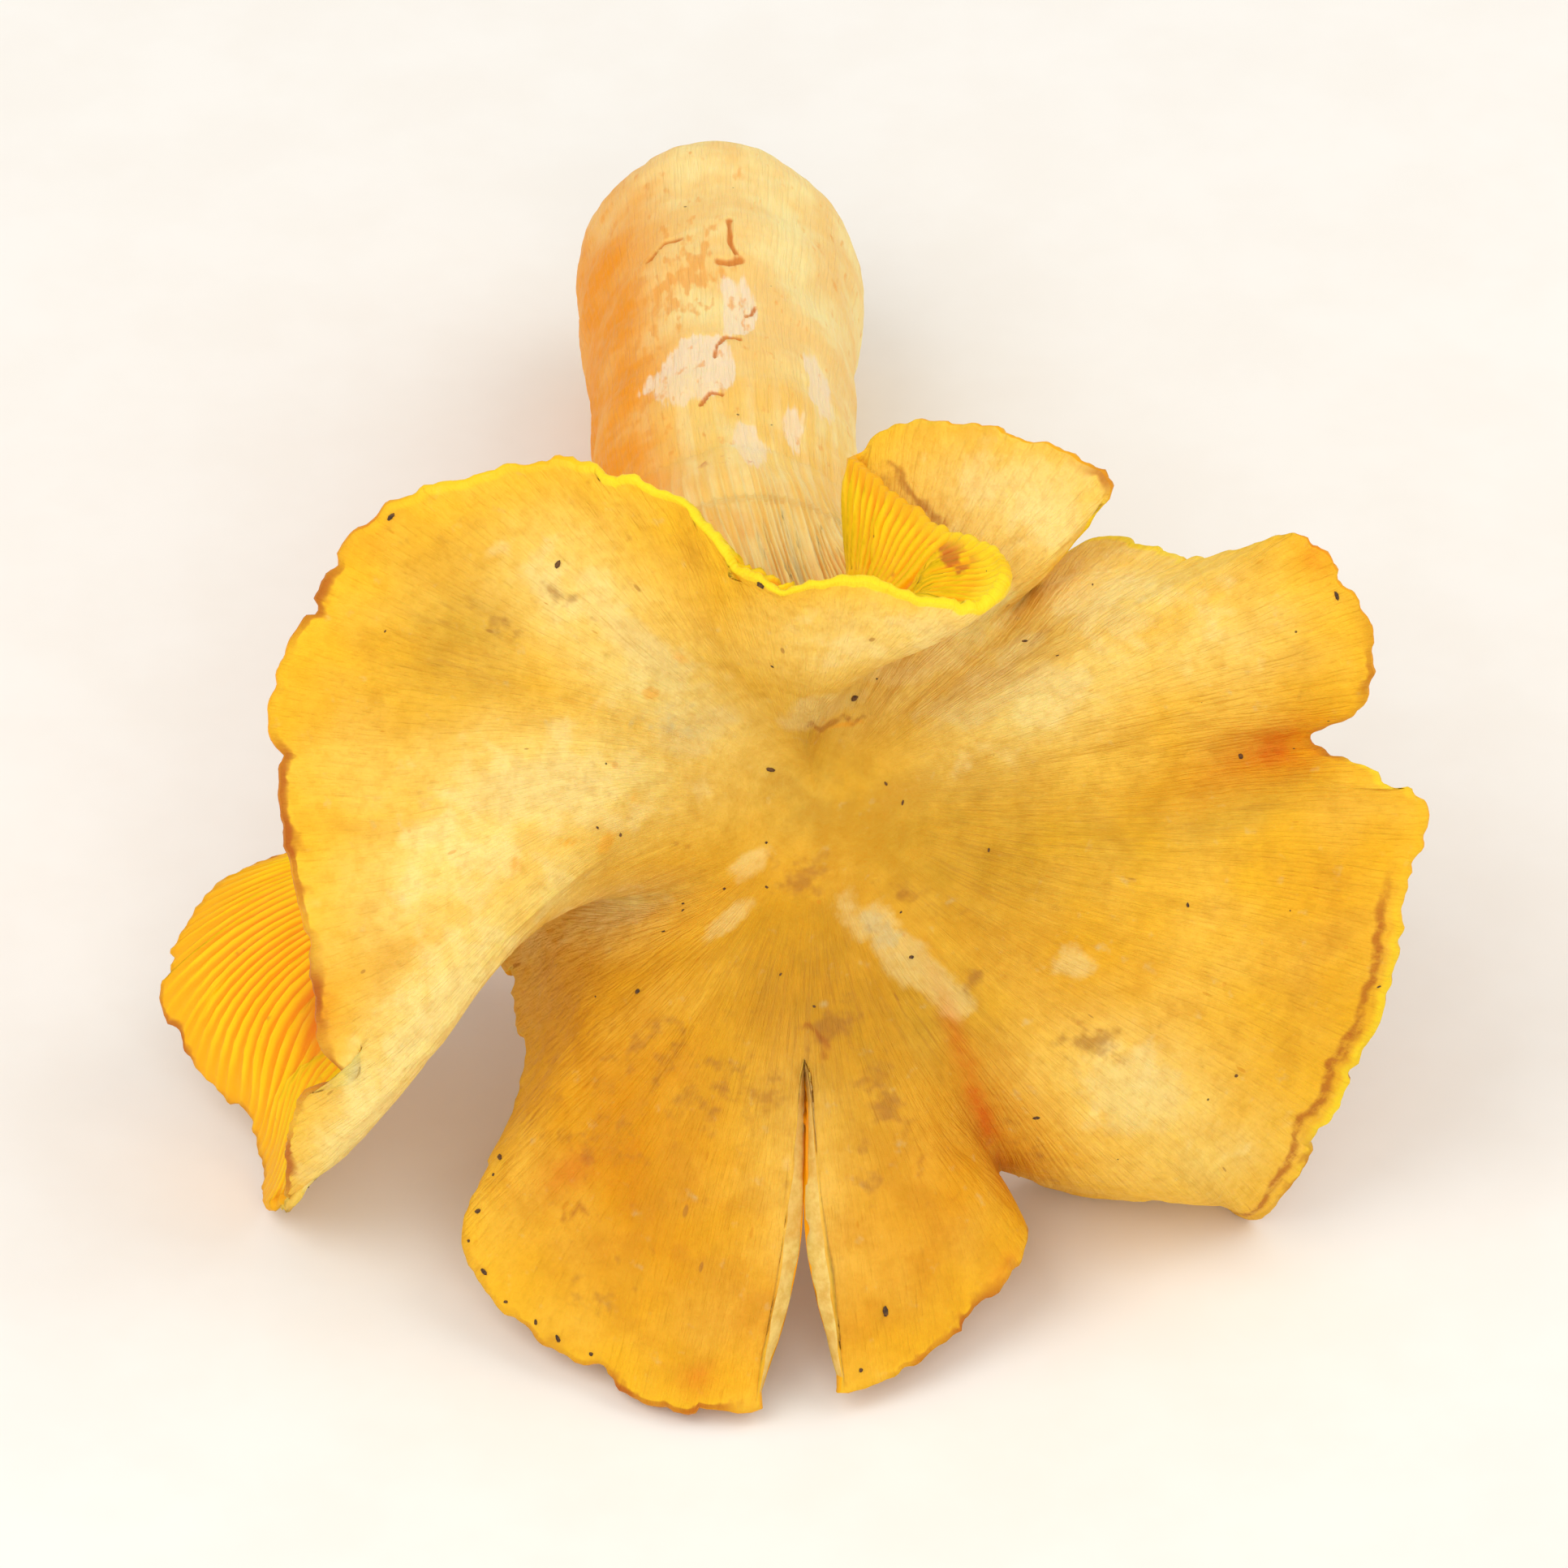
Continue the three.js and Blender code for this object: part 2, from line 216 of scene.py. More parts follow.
def skinNormal(angle, reach):
    across = skin(angle + 0.8, reach) - skin(angle - 0.8, reach)
    outwards = skin(angle, np.minimum(reach + 0.01, 1)) - skin(angle, np.maximum(reach - 0.01, 0))
    return unit(np.cross(outwards, across))


def foldAt(angle):
    near, soft = rimAt(angle), softRim(angle, capShape["trumpetSoftness"])
    distance = np.linalg.norm((near - soft)[..., :3], axis=-1)
    return np.minimum(distance / capShape["foldDistance"], 1)


def thicknessAt(angle, reach):
    c = capShape
    growth = (c["fleshThickness"] - c["rimThickness"]) * (1 - c["foldThinning"] * foldAt(angle))
    return c["rimThickness"] + growth * np.clip(1 - reach, 0, 1) ** c["fleshGrowth"]


def stemLine(share):
    points = np.array(stemShape["points"], float)
    points = np.vstack([2 * points[0] - points[1], points, 2 * points[-1] - points[-2]])
    place = np.asarray(share, float) * (len(points) - 3)
    k = np.clip(np.floor(place).astype(int), 0, len(points) - 4)
    t = (place - k)[..., None]
    p0, p1, p2, p3 = (points[k + n] for n in range(4))
    return 0.5 * (2 * p1 + (p2 - p0) * t + (2 * p0 - 5 * p1 + 4 * p2 - p3) * t ** 2
                  + (3 * p1 - p0 - 3 * p2 + p3) * t ** 3)


def stemAlong(share):
    share = np.asarray(share, float)
    return unit(stemLine(np.minimum(share + 1e-3, 1)) - stemLine(np.maximum(share - 1e-3, 0)))


def stemRadius(share):
    place = np.asarray(share, float) * (len(stemShape["radii"]) - 1)
    k = np.clip(np.floor(place).astype(int), 0, len(stemShape["radii"]) - 2)
    radii = np.array(stemShape["radii"], float)
    return mixed(radii[k], radii[k + 1], softStep(place - k))


def stemPoint(angle, share, shrink=1.0, grow=0.0):
    along = stemAlong(share)
    sideways = unit(np.array([1.0, 0, 0]) - along * along[..., :1])
    upwards = unit(np.cross(sideways, along))
    upwards = upwards * np.where(upwards[..., 1:2] < 0, -1, 1)
    radius = (stemRadius(share) * shrink + grow)[..., None]
    turn = np.radians(angle)[..., None]
    return stemLine(share) + radius * (np.cos(turn) * sideways + np.sin(turn) * upwards)


# The gill side without ridges, on an even net of angles and reaches.
netAngles, netReaches = 720, 41


def gillNet():
    c = capShape
    angle = (c["splitAngle"] + np.arange(netAngles) * 360 / netAngles)[:, None]
    reach = np.linspace(0, 1, netReaches)[None, :]
    kept = np.maximum(reach, c["innerReach"])
    upper, normal = skin(angle, kept), skinNormal(angle, kept)
    under = upper - normal * thicknessAt(angle, reach)[..., None]

    def averaged(net, width):
        steps = np.rint(tapSteps * width * netAngles / 360).astype(int)
        return sum(w * np.roll(net, -s, 0) for s, w in zip(steps, tapWeights))

    softUpper, softUnder = averaged(upper, c["fillWidth"]), averaged(under, c["fillWidth"])
    hollow = -((softUpper - upper) * normal).sum(-1)
    fill = softStep(hollow) * softStep((1 - reach) / c["fillFrom"])
    under = mixed(under, softUnder, fill[..., None])

    rimPlace = softRim(angle, c["trumpetSoftness"])[..., :3]
    outer = rimPlace - np.array([0, 0, c["rimThickness"]])
    inner = stemPoint(angle, np.full_like(angle, stemShape["join"]))
    along = stemAlong(stemShape["join"])
    bend = inner - along * np.linalg.norm(outer - inner, axis=-1, keepdims=True) * c["trumpetFlare"]
    r = reach[..., None]
    trumpet = (1 - r) ** 2 * inner + 2 * (1 - r) * r * bend + r * r * outer
    start = c["trumpetStart"] - c["foldDelay"] * foldAt(angle)
    share = softStep((start - reach) / np.minimum(c["trumpetBlend"], start))
    net = mixed(under, trumpet, share[..., None])
    at, wide, softness, within, fade = c["softFold"]
    share = np.exp(-(((angle - at + 180) % 360 - 180) / wide) ** 4)
    share = share * softStep((within - reach) / fade)
    return mixed(net, averaged(net, softness), share[..., None])


# A smooth value between the net's points, wrapped in angle and held at the ends in reach.
def netAt(net, angle, reach):
    column = (angle - capShape["splitAngle"]) % 360 * netAngles / 360
    row = np.clip(reach, 0, 1) * (netReaches - 1)
    ci = np.floor(column).astype(int)
    ri = np.minimum(np.floor(row).astype(int), netReaches - 2)

    def weights(t):
        return (0.5 * (-t + 2 * t ** 2 - t ** 3), 0.5 * (2 - 5 * t ** 2 + 3 * t ** 3),
                0.5 * (t + 4 * t ** 2 - 3 * t ** 3), 0.5 * (t ** 3 - t ** 2))

    cw, rw = weights(column - ci), weights(row - ri)
    total = 0
    for a in range(4):
        for b in range(4):
            rows = np.clip(ri + b - 1, 0, netReaches - 1)
            total = total + (cw[a] * rw[b])[..., None] * net[(ci + a - 1) % netAngles, rows]
    return total


def reachAt(angle):
    c = capShape
    turned = (angle - c["splitAngle"] + 180) % 360 - 180
    share = np.minimum(np.abs(turned) / c["splitHalfWidth"], 1) ** c["splitCurve"]
    return (1 - c["splitDepth"]) / (1 - share * c["splitDepth"])


def ringReach(angle, share):
    even = capShape["splitEvenReach"]
    outer = np.maximum(share - even, 0) / (1 - even)
    return np.minimum(share, even) + outer * (reachAt(angle) - even)


detail = dict(
    columns=1440, splitSteps=24, ridges=360,
    angleWeight=0.25,
    fineStretches=[(556, 590, 1.35), (432, 458, 1.3)],
    edgeTurns=(40, 80, 115, 150),
    tailLength=0.14, tailRings=12, tailLift=0.06, tailSink=0.45,
    # rings of points: from one share of the reach to another, and how many
    topRings=[(0.025, 0.2, 8), (0.2, 0.5, 20), (0.5, 0.96, 28), (0.96, 1, 4)],
    gillRings=[(1, 0.96, 3), (0.96, 0.6, 14), (0.6, 0, 26)],
)


def spacedOut(stretches):
    last = len(stretches) - 1
    return np.concatenate([np.linspace(*ends, endpoint=k == last)
                           for k, ends in enumerate(stretches)])


def columnAngles():
    samples = 2880
    turned = np.linspace(0, 360, samples + 1)
    place = rimAt(capShape["splitAngle"] + turned)[:, :3]
    step = np.linalg.norm(np.diff(place, axis=0), axis=1)
    middle = capShape["splitAngle"] + (turned[1:] + turned[:-1]) / 2
    for start, end, finer in detail["fineStretches"]:
        inside = softStep((middle - start) / 3) * softStep((end - middle) / 3)
        step = step * mixed(1, finer, inside)
    length = np.concatenate([[0], np.cumsum(step)]) / step.sum()
    cost = detail["angleWeight"] * turned / 360 + (1 - detail["angleWeight"]) * length
    steps, depth = detail["splitSteps"], capShape["splitDepth"]
    reach = 1 - depth + depth * np.arange(steps + 1) / steps
    share = ((1 - (1 - depth) / reach) / depth) ** (1 / capShape["splitCurve"])
    half = capShape["splitHalfWidth"]
    right = share * half
    evenCount = detail["columns"] - (2 * steps + 1)
    first, last = np.interp([half * 1.15, 360 - half * 1.15], turned, cost)
    even = np.interp(np.linspace(first, last, evenCount), cost, turned)
    angles = np.concatenate([right, even, 360 - right[:0:-1]])
    phase = np.interp(angles, turned, cost) * detail["ridges"]
    return capShape["splitAngle"] + angles, phase


gillForm = dict(
    height=0.75, crest=0.6, seed=5,
    crestWidth=0.27, mergedOnce=0.09, mergedTwice=0.12, crestSharpness=2.3,
    shortShare=0.3, shortEnd=(0.35, 0.8), unevenHeight=(0.75, 1.1),
    rimHeight=0.18, rimFade=0.12, stemHeight=0.28, stemFade=0.55, tailPace=0.6,
    outerFork=(0.35, 0.9), innerFork=(0.05, 0.5), forkLength=0.14,
    wander=0.35, fineWander=0.12,
    veins=3, veinHeight=0.5, veinHalfLength=0.55, veinHalfWidth=0.02, veinSlant=0.05,
    flapAngle=566, flapWidth=20, flapLean=8.5, leanWidth=34, leanReach=0.36, flapHeight=0.55,
)


# Height of the ridges, 0 in the valleys to 1 on the crests. They fork in pairs, and the
# pairs fork again nearer the stem. Low veins cross the valleys.
def ridgeHeight(angles, phase, reach, place):
    g = gillForm
    rng = np.random.default_rng(g["seed"])
    groups = detail["ridges"] // 4
    onFlap = np.exp(-((angles - g["flapAngle"]) / g["flapWidth"]) ** 2)
    wander = g["wander"] * noise(place, 5.5, 3) + g["fineWander"] * noise(place, 1.8, 4)
    u = (phase + wander * (1 - 0.5 * onFlap)) % detail["ridges"]
    group = np.floor(u / 4).astype(int) % groups
    v = u - 4 * np.floor(u / 4)
    innerFork = rng.uniform(*g["innerFork"], groups)[group]
    outerForks = rng.uniform(*g["outerFork"], (groups, 2))
    isShort = rng.random((groups, 4)) < g["shortShare"]
    shortEnd = np.where(isShort, rng.uniform(*g["shortEnd"], (groups, 4)), -1)
    tallness = rng.uniform(*g["unevenHeight"], (groups, 4))
    spread2 = 1 - softStep((innerFork - reach) / g["forkLength"])
    best = np.zeros_like(u)
    for pair in (0, 1):
        fork = outerForks[group, pair]
        spread1 = 1 - softStep((fork - reach) / g["forkLength"])
        for child in (0, 1):
            centre = 2 + (2 * pair - 1) * spread2 + (2 * child - 1) * 0.5 * spread1
            width = g["crestWidth"] + g["mergedOnce"] * (1 - spread1)
            width = width + g["mergedTwice"] * (1 - spread2)
            bump = np.exp(-(np.abs(v - centre) / width) ** g["crestSharpness"])
            kept = softStep((reach - shortEnd[group, 2 * pair + child]) / 0.12)
            kept = mixed(1, kept, spread1)
            best = np.maximum(best, bump * kept * tallness[group, 2 * pair + child])
    for _ in range(g["veins"]):
        at = rng.uniform(0.1, 0.95, groups)[group]
        middle = rng.uniform(0.3, 3.7, groups)[group]
        slant = rng.uniform(-g["veinSlant"], g["veinSlant"], groups)[group]
        across = np.exp(-((v - middle) / g["veinHalfLength"]) ** 4)
        off = reach - at - slant * (v - middle)
        vein = g["veinHeight"] * across * np.exp(-(off / g["veinHalfWidth"]) ** 2)
        best = np.maximum(best, vein)
    return np.clip(best, 0, 1.1)


# Faces between rings of points, each ring as many points as the last or half as many,
# closed with a point at each end.
def ringFaces(counts):
    starts = np.concatenate([[0], np.cumsum(counts)])
    faces = []
    first, last = starts[-1], starts[-1] + 1
    for k, (here, below) in enumerate(zip(counts[:-1], counts[1:])):
        a, b = starts[k], starts[k + 1]
        if here == below:
            j = np.arange(here)
            n = (j + 1) % here
            made = np.stack([a + j, b + j, b + n, a + n], 1)
        else:
            few, many = min(here, below), max(here, below)
            wide, fine = (a, b) if few == here else (b, a)
            j = np.arange(few)
            n, even = (j + 1) % few, 2 * j
            odd, after = even + 1, (even + 2) % many
            made = np.concatenate([
                np.stack([wide + j, fine + even, fine + odd], 1),
                np.stack([wide + j, fine + odd, wide + n], 1),
                np.stack([wide + n, fine + odd, fine + after], 1),
            ])
            if wide != a:
                made = made[:, ::-1]
        faces += made.tolist()
    j = np.arange(counts[0])
    faces += np.stack([np.full_like(j, first), j, (j + 1) % counts[0]], 1).tolist()
    j = np.arange(counts[-1])
    at = starts[-2]
    faces += np.stack([at + j, np.full_like(j, last), at + (j + 1) % counts[-1]], 1).tolist()
    return faces


def turnedUp(points):
    lift = math.radians(capShape["faceElevation"])
    x, y, z = points[..., 0], points[..., 1], points[..., 2]
    return np.stack([x, y * math.sin(lift) - z * math.cos(lift),
                     y * math.cos(lift) + z * math.sin(lift)], -1)


def meshObject(name, points, faces, values, vectors, ownMaterials, faceMaterial):
    mesh = bpy.data.meshes.new(name)
    mesh.from_pydata((points / 1000).tolist(), [], faces)
    mesh.update()
    for table, kind, field in ((values, "FLOAT", "value"), (vectors, "FLOAT_VECTOR", "vector")):
        for key, value in table.items():
            layer = mesh.attributes.new(key, kind, "POINT")
            layer.data.foreach_set(field, np.ascontiguousarray(value, np.float32).ravel())
    for material in ownMaterials:
        mesh.materials.append(material)
    mesh.polygons.foreach_set("material_index", np.asarray(faceMaterial, np.int32))
    mesh.polygons.foreach_set("use_smooth", np.ones(len(mesh.polygons), bool))
    mesh.update()
    made = bpy.data.objects.new(name, mesh)
    bpy.context.scene.collection.objects.link(made)
    return made


# Normals of a net of rings, wrapped along the ring.
def netNormals(net):
    along = np.roll(net, -1, 1) - np.roll(net, 1, 1)
    down = np.gradient(net, axis=0)
    return unit(np.cross(down, along))


stemForm = dict(
    columns=320, firstShare=0.46, rise=0.06, rings=150,
    length=72, radius=8,  # nominal, for measures along and round the skin
    lumps=0.5, grain=0.05, fibres=0.2, peel=0.08, scarDepth=0.22,
    # where the skin is rubbed off: share along, turn, length, width, strength
    rubbed=[(0.735, 85, 4.5, 1.4, 1), (0.66, 103, 5, 3.6, 1), (0.53, 81, 4.5, 1.7, 0.9),
            (0.66, 125, 2.2, 2, 0.7), (0.6, 62, 6, 1.4, 0.7), (0.66, 45, 6, 1.8, 0.8),
            (0.7, 250, 7, 4, 0.7), (0.85, 300, 5, 3, 0.6), (0.8, 200, 4, 3, 0.6)],
    # cracks: width, then points of share along and turn
    scars=[(0.13, [(0.845, 86.5), (0.82, 86), (0.806, 84)]),
           (0.24, [(0.796, 91), (0.794, 87), (0.8, 82)]),
           (0.14, [(0.82, 122), (0.832, 114), (0.831, 106)]),
           (0.12, [(0.733, 79.5), (0.735, 77), (0.746, 75)]),
           (0.12, [(0.67, 94.5), (0.688, 93.5), (0.7, 89), (0.695, 83)]),
           (0.12, [(0.6, 102), (0.615, 97), (0.61, 92)]),
           (0.15, [(0.75, 240), (0.73, 250), (0.74, 258)])],
    # rough freckled skin: share along, turn, length, width, strength
    freckled=[(0.775, 112, 5, 3.6, 1), (0.7, 132, 6, 3, 0.8), (0.6, 140, 5, 3, 0.5)],
    # a fuller shoulder: share along, turn, length, width, height
    swelling=(0.99, 152, 4.5, 8, 0.75),
)


def turnFrom(turn, start):
    return (turn - start + np.pi) % (2 * np.pi) - np.pi


# Distance in millimetres from places on the stem to a line of points.
def strokeDistance(length, turn, stroke):
    best = np.full(length.shape, 1e3)
    at = [(stemForm["length"] * share, math.radians(degrees)) for share, degrees in stroke]
    for (l0, t0), (l1, t1) in zip(at[:-1], at[1:]):
        x, y = length - l0, turnFrom(turn, t0) * stemForm["radius"]
        best = np.minimum(best, alongStep(x, y, l1 - l0, (t1 - t0) * stemForm["radius"])[1])
    return best


# The strongest of some soft spots on the stem.
def stemSpots(along, turn, spots):
    total = np.zeros(along.shape)
    for share, degrees, long, wide, strength in spots:
        arc = turnFrom(turn, math.radians(degrees)) * stemForm["radius"]
        away = ((along - share) * stemForm["length"] / long) ** 2 + (arc / wide) ** 2
        total = np.maximum(total, strength * np.exp(-1.5 * away))
    return total


# Painted glow: the share of the stem's left side that is coloured warm orange, as if lit by warm
# light from that side.
def glowSide(turn):
    return softStep((-np.cos(turn) - 0.15) / 0.8)


def stemRelief(net, along, turn):
    f = stemForm
    turn = turn + 0 * along
    fibre = np.stack([f["radius"] * np.cos(turn), f["radius"] * np.sin(turn),
                      along * f["length"]], -1)
    nearCap = softStep((0.7 - along) / 0.25)
    height = f["lumps"] * layeredNoise(net, 7, 61, 2)
    threads = layeredNoise(drawnOut(fibre, 0.1), 0.9, 64, 2)
    height = height + f["fibres"] * mixed(0.3, 1, nearCap) * threads
    ragged = 0.7 * layeredNoise(drawnOut(fibre, 0.5), 2.0, 67, 4)
    peeled = softStep((stemSpots(along, turn, f["rubbed"]) + ragged - 0.36) / 0.3)
    height = height - f["peel"] * peeled + f["grain"] * noise(net, 0.7, 70)
    scar = np.zeros(along.shape)
    for wide, stroke in f["scars"]:
        away = strokeDistance(along * f["length"], turn, stroke) + 0.1 * noise(net, 0.7, 73)
        groove = np.exp(-(away / wide) ** 2)
        lip = np.exp(-((away - 2.2 * wide) / wide) ** 2)
        height = height - f["scarDepth"] * groove + 0.35 * f["scarDepth"] * lip
        scar = np.maximum(scar, np.exp(-(away / (1.5 * wide)) ** 2))
    height = height + stemSpots(along, turn, [f["swelling"]])
    fadeIn = softStep((along - stemShape["join"] + 0.02) / 0.08)
    return height * fadeIn, fibre, peeled * fadeIn, scar


capSkinForm = dict(
    waves=0.4, wrinkles=0.26, fibres=0.06, pits=0.1, tornLumps=0.1,
    fibreRound=22, fibreLong=33,  # millimetres of fibre pattern round the cap and along a spoke
    rimJag=0.27, rimNick=0.5, jagFrom=0.85, jagOver=0.15,
    # spoke angle, half width in degrees, depth
    nicks=[(541.5, 1.1, 2.4), (520, 0.8, 0.7), (464.5, 0.9, 0.4), (468, 1.6, 0.8),
           (472.5, 1.1, 0.9), (477, 1.0, 0.4)],
    wallClose=(0.04, 0.92),
)


# How far the rim comes and goes, with a few nicks.
def rimJag(angles, rimLine):
    f = capSkinForm
    jag = f["rimJag"] * (noise(rimLine, 3.4, 21) + 0.6 * noise(rimLine, 1.2, 22)
                         + 0.65 * noise(rimLine, 0.6, 24))
    jag = jag - f["rimNick"] * softStep((noise(rimLine, 1.9, 23) - 0.5) / 0.25)
    for at, wide, deep in f["nicks"]:
        jag = jag - deep * np.exp(-np.abs((angles - at) / wide) ** 1.5)
    return jag


# Waves, wrinkles that run outwards and small pits in the upper skin.
def upperRelief(net, fibre, reach):
    f = capSkinForm
    offCentre = softStep((reach - 0.12) / 0.3)
    upper = f["waves"] * layeredNoise(net, 9, 31, 2)
    upper += f["wrinkles"] * offCentre * layeredNoise(drawnOut(fibre, 0.35), 2.2, 35, 3)
    upper += f["fibres"] * offCentre * noise(drawnOut(fibre, 0.12), 0.5, 41)
    return upper - f["pits"] * softStep((noise(net, 1.7, 44) - 0.5) / 0.25)


# The whole skin as rings of points: upper side, round the rim, gill side, then the tail of
# ridges on the stem.
def capNet():
    angles, phase = columnAngles()
    g = gillForm
    base = gillNet()
    half = capShape["splitHalfWidth"]
    turned = (angles - capShape["splitAngle"] + 180) % 360 - 180
    wallColumn = np.abs(turned) < half * 0.999
    fromSplit = softStep((np.abs(turned) / half - 1) / 1.5)

    topShares, gillShares = spacedOut(detail["topRings"]), spacedOut(detail["gillRings"])
    # towards the middle only every second or fourth column is kept
    topStrides = np.where(topShares < 0.5, 4, np.where(topShares < 0.95, 2, 1))
    gillStrides = np.where(gillShares > 0.61, 1, 2)
    tailSteps = np.arange(1, detail["tailRings"] + 1)
    tailShares = stemShape["join"] + detail["tailLength"] * tailSteps / detail["tailRings"]

    a = angles[None, :]
    topReach = ringReach(a, topShares[:, None])
    top = skin(a, topReach)
    topNormal = skinNormal(a, topReach)

    # The gill side closes up under the split, so that the torn walls slope.
    edgeReach = reachAt(angles)
    keep = mixed(*capSkinForm["wallClose"], softStep((edgeReach - 0.7) / 0.3))
    beyond = np.maximum(np.abs(turned) - half, 0)
    pulled = (1 - keep) * np.minimum(np.abs(turned), half) * np.exp(-beyond / (2 * half))
    gillAngles = angles - np.sign(turned) * pulled

    rimLine, rimNormal = top[-1], topNormal[-1]
    line = np.roll(rimLine, -1, 0) - np.roll(rimLine, 1, 0)
    outwards = unit(np.cross(line, rimNormal))
    gillReach = ringReach(a, gillShares[:, None])
    lean = g["flapLean"] * np.exp(-((angles - g["flapAngle"]) / g["leanWidth"]) ** 2)
    leaned = lean * np.tanh(np.maximum(edgeReach - gillReach, 0) / g["leanReach"])
    gill = netAt(base, gillAngles[None, :] + leaned, gillReach)
    halfThick = np.linalg.norm(gill[0] - rimLine, axis=1) / 2
    bulge = np.where(wallColumn, 0.0, capShape["rimBulge"])
    edge = []
    for turn in detail["edgeTurns"]:
        t = math.radians(turn)
        edge.append(mixed(rimLine, gill[0], (1 - math.cos(t)) / 2)
                    + outwards * (halfThick * bulge * math.sin(t))[:, None])
    edge = np.stack(edge)
    tailAngles = angles + leaned[-1]
    tail = np.stack([stemPoint(tailAngles, np.full_like(angles, s)) for s in tailShares])

    jag = rimJag(angles, rimLine) * fromSplit
    jagFrom, jagOver = capSkinForm["jagFrom"], capSkinForm["jagOver"]
    for net, reach in ((top, topReach), (edge, np.ones((len(edge), 1))), (gill, gillReach)):
        zone = softStep((reach - jagFrom) / jagOver)
        net += outwards[None] * (jag[None] * zone)[..., None]

    net = np.concatenate([top, edge, gill, tail])
    firstEdge, firstGill = len(top), len(top) + len(edge)
    firstTail = firstGill + len(gill)
    kinds = np.repeat([0, 1, 2, 3], [len(top), len(edge), len(gill), len(tail)])
    reach = np.concatenate([topReach, np.broadcast_to(edgeReach, (len(edge), len(angles))),
                            gillReach, np.zeros((len(tail), len(angles)))])
    strides = np.concatenate([topStrides, np.ones(len(edge), int), gillStrides,
                              np.full(len(tail), 2)])
    normals = netNormals(net)
    normals *= np.sign((normals[firstEdge - 6] * topNormal[-6]).sum(-1).mean())

    # Ridges on the gill side, fading over the edge and down the stem.
    tallness = np.zeros(net.shape[:2])
    for k in range(len(edge)):
        tallness[firstEdge + k] = g["rimHeight"] * softStep((detail["edgeTurns"][k] - 60) / 90)
    fromRim = (edgeReach - gillReach) / g["rimFade"]
    tallness[firstGill:firstTail] = mixed(g["rimHeight"], 1, softStep(fromRim))
    tallness[firstGill:firstTail] *= mixed(g["stemHeight"], 1, softStep(gillReach / g["stemFade"]))
    for k in range(len(tail)):
        tallness[firstTail + k] = g["stemHeight"] * (1 - softStep((k + 1) / len(tail)))
    tailReach = -g["tailPace"] * (tailShares - stemShape["join"])[:, None] + 0 * a
    ridgeReach = np.concatenate([reach[:firstTail], tailReach])
    ridges = ridgeHeight(angles[None], np.broadcast_to(phase, reach.shape), ridgeReach, net)
    flap = np.exp(-((a - g["flapAngle"]) / g["flapWidth"]) ** 4)
    height = (ridges - 1 + g["crest"]) * g["height"] * tallness * mixed(1, g["flapHeight"], flap)
    ridges = ridges * np.minimum(tallness * 1.6, 1)

    fibre = fibrePlace(angles, reach)
    onTop = np.array([1, 0.4, 0, 0])[kinds][:, None] + 0 * reach
    height = height + onTop * upperRelief(net, fibre, reach)

    # The tail lies on the stem and sinks into it at its end.
    turn = np.radians(tailAngles)[None, :]
    relief, stemFibre, peeled, _ = stemRelief(net[firstTail:], tailShares[:, None] + 0 * a, turn)
    sink = -detail["tailSink"] * softStep((tailSteps / len(tail) - 0.7) / 0.3)[:, None]
    height[firstTail:] += relief + detail["tailLift"] + sink
    fibre[firstTail:] = stemFibre

    walls = (kinds[:, None] == 1) & wallColumn[None, :]
    height = np.where(walls, capSkinForm["tornLumps"] * noise(net, 0.8, 51), height)
    net = net + normals * height[..., None]
    alongStem = stemShape["join"] - 0.25 * reach
    alongStem[firstTail:] = tailShares[:, None]
    down = np.zeros(net.shape[:2])
    down[firstTail:] = (tailSteps / len(tail))[:, None]
    return dict(net=net, kinds=kinds, reach=reach, strides=strides, ridges=ridges,
                walls=walls, fibre=fibre, down=down, peeled=peeled, firstTail=firstTail,
                along=alongStem, glowSide=glowSide(turn))


# Place on the skin stretched out along the fibres.
def fibrePlace(angles, reach):
    turn = np.radians(angles)[None, :]
    across, along = capSkinForm["fibreRound"], capSkinForm["fibreLong"]
    return np.stack([across * np.cos(turn) + 0 * reach, across * np.sin(turn) + 0 * reach,
                     along * reach + 0 * turn], -1)
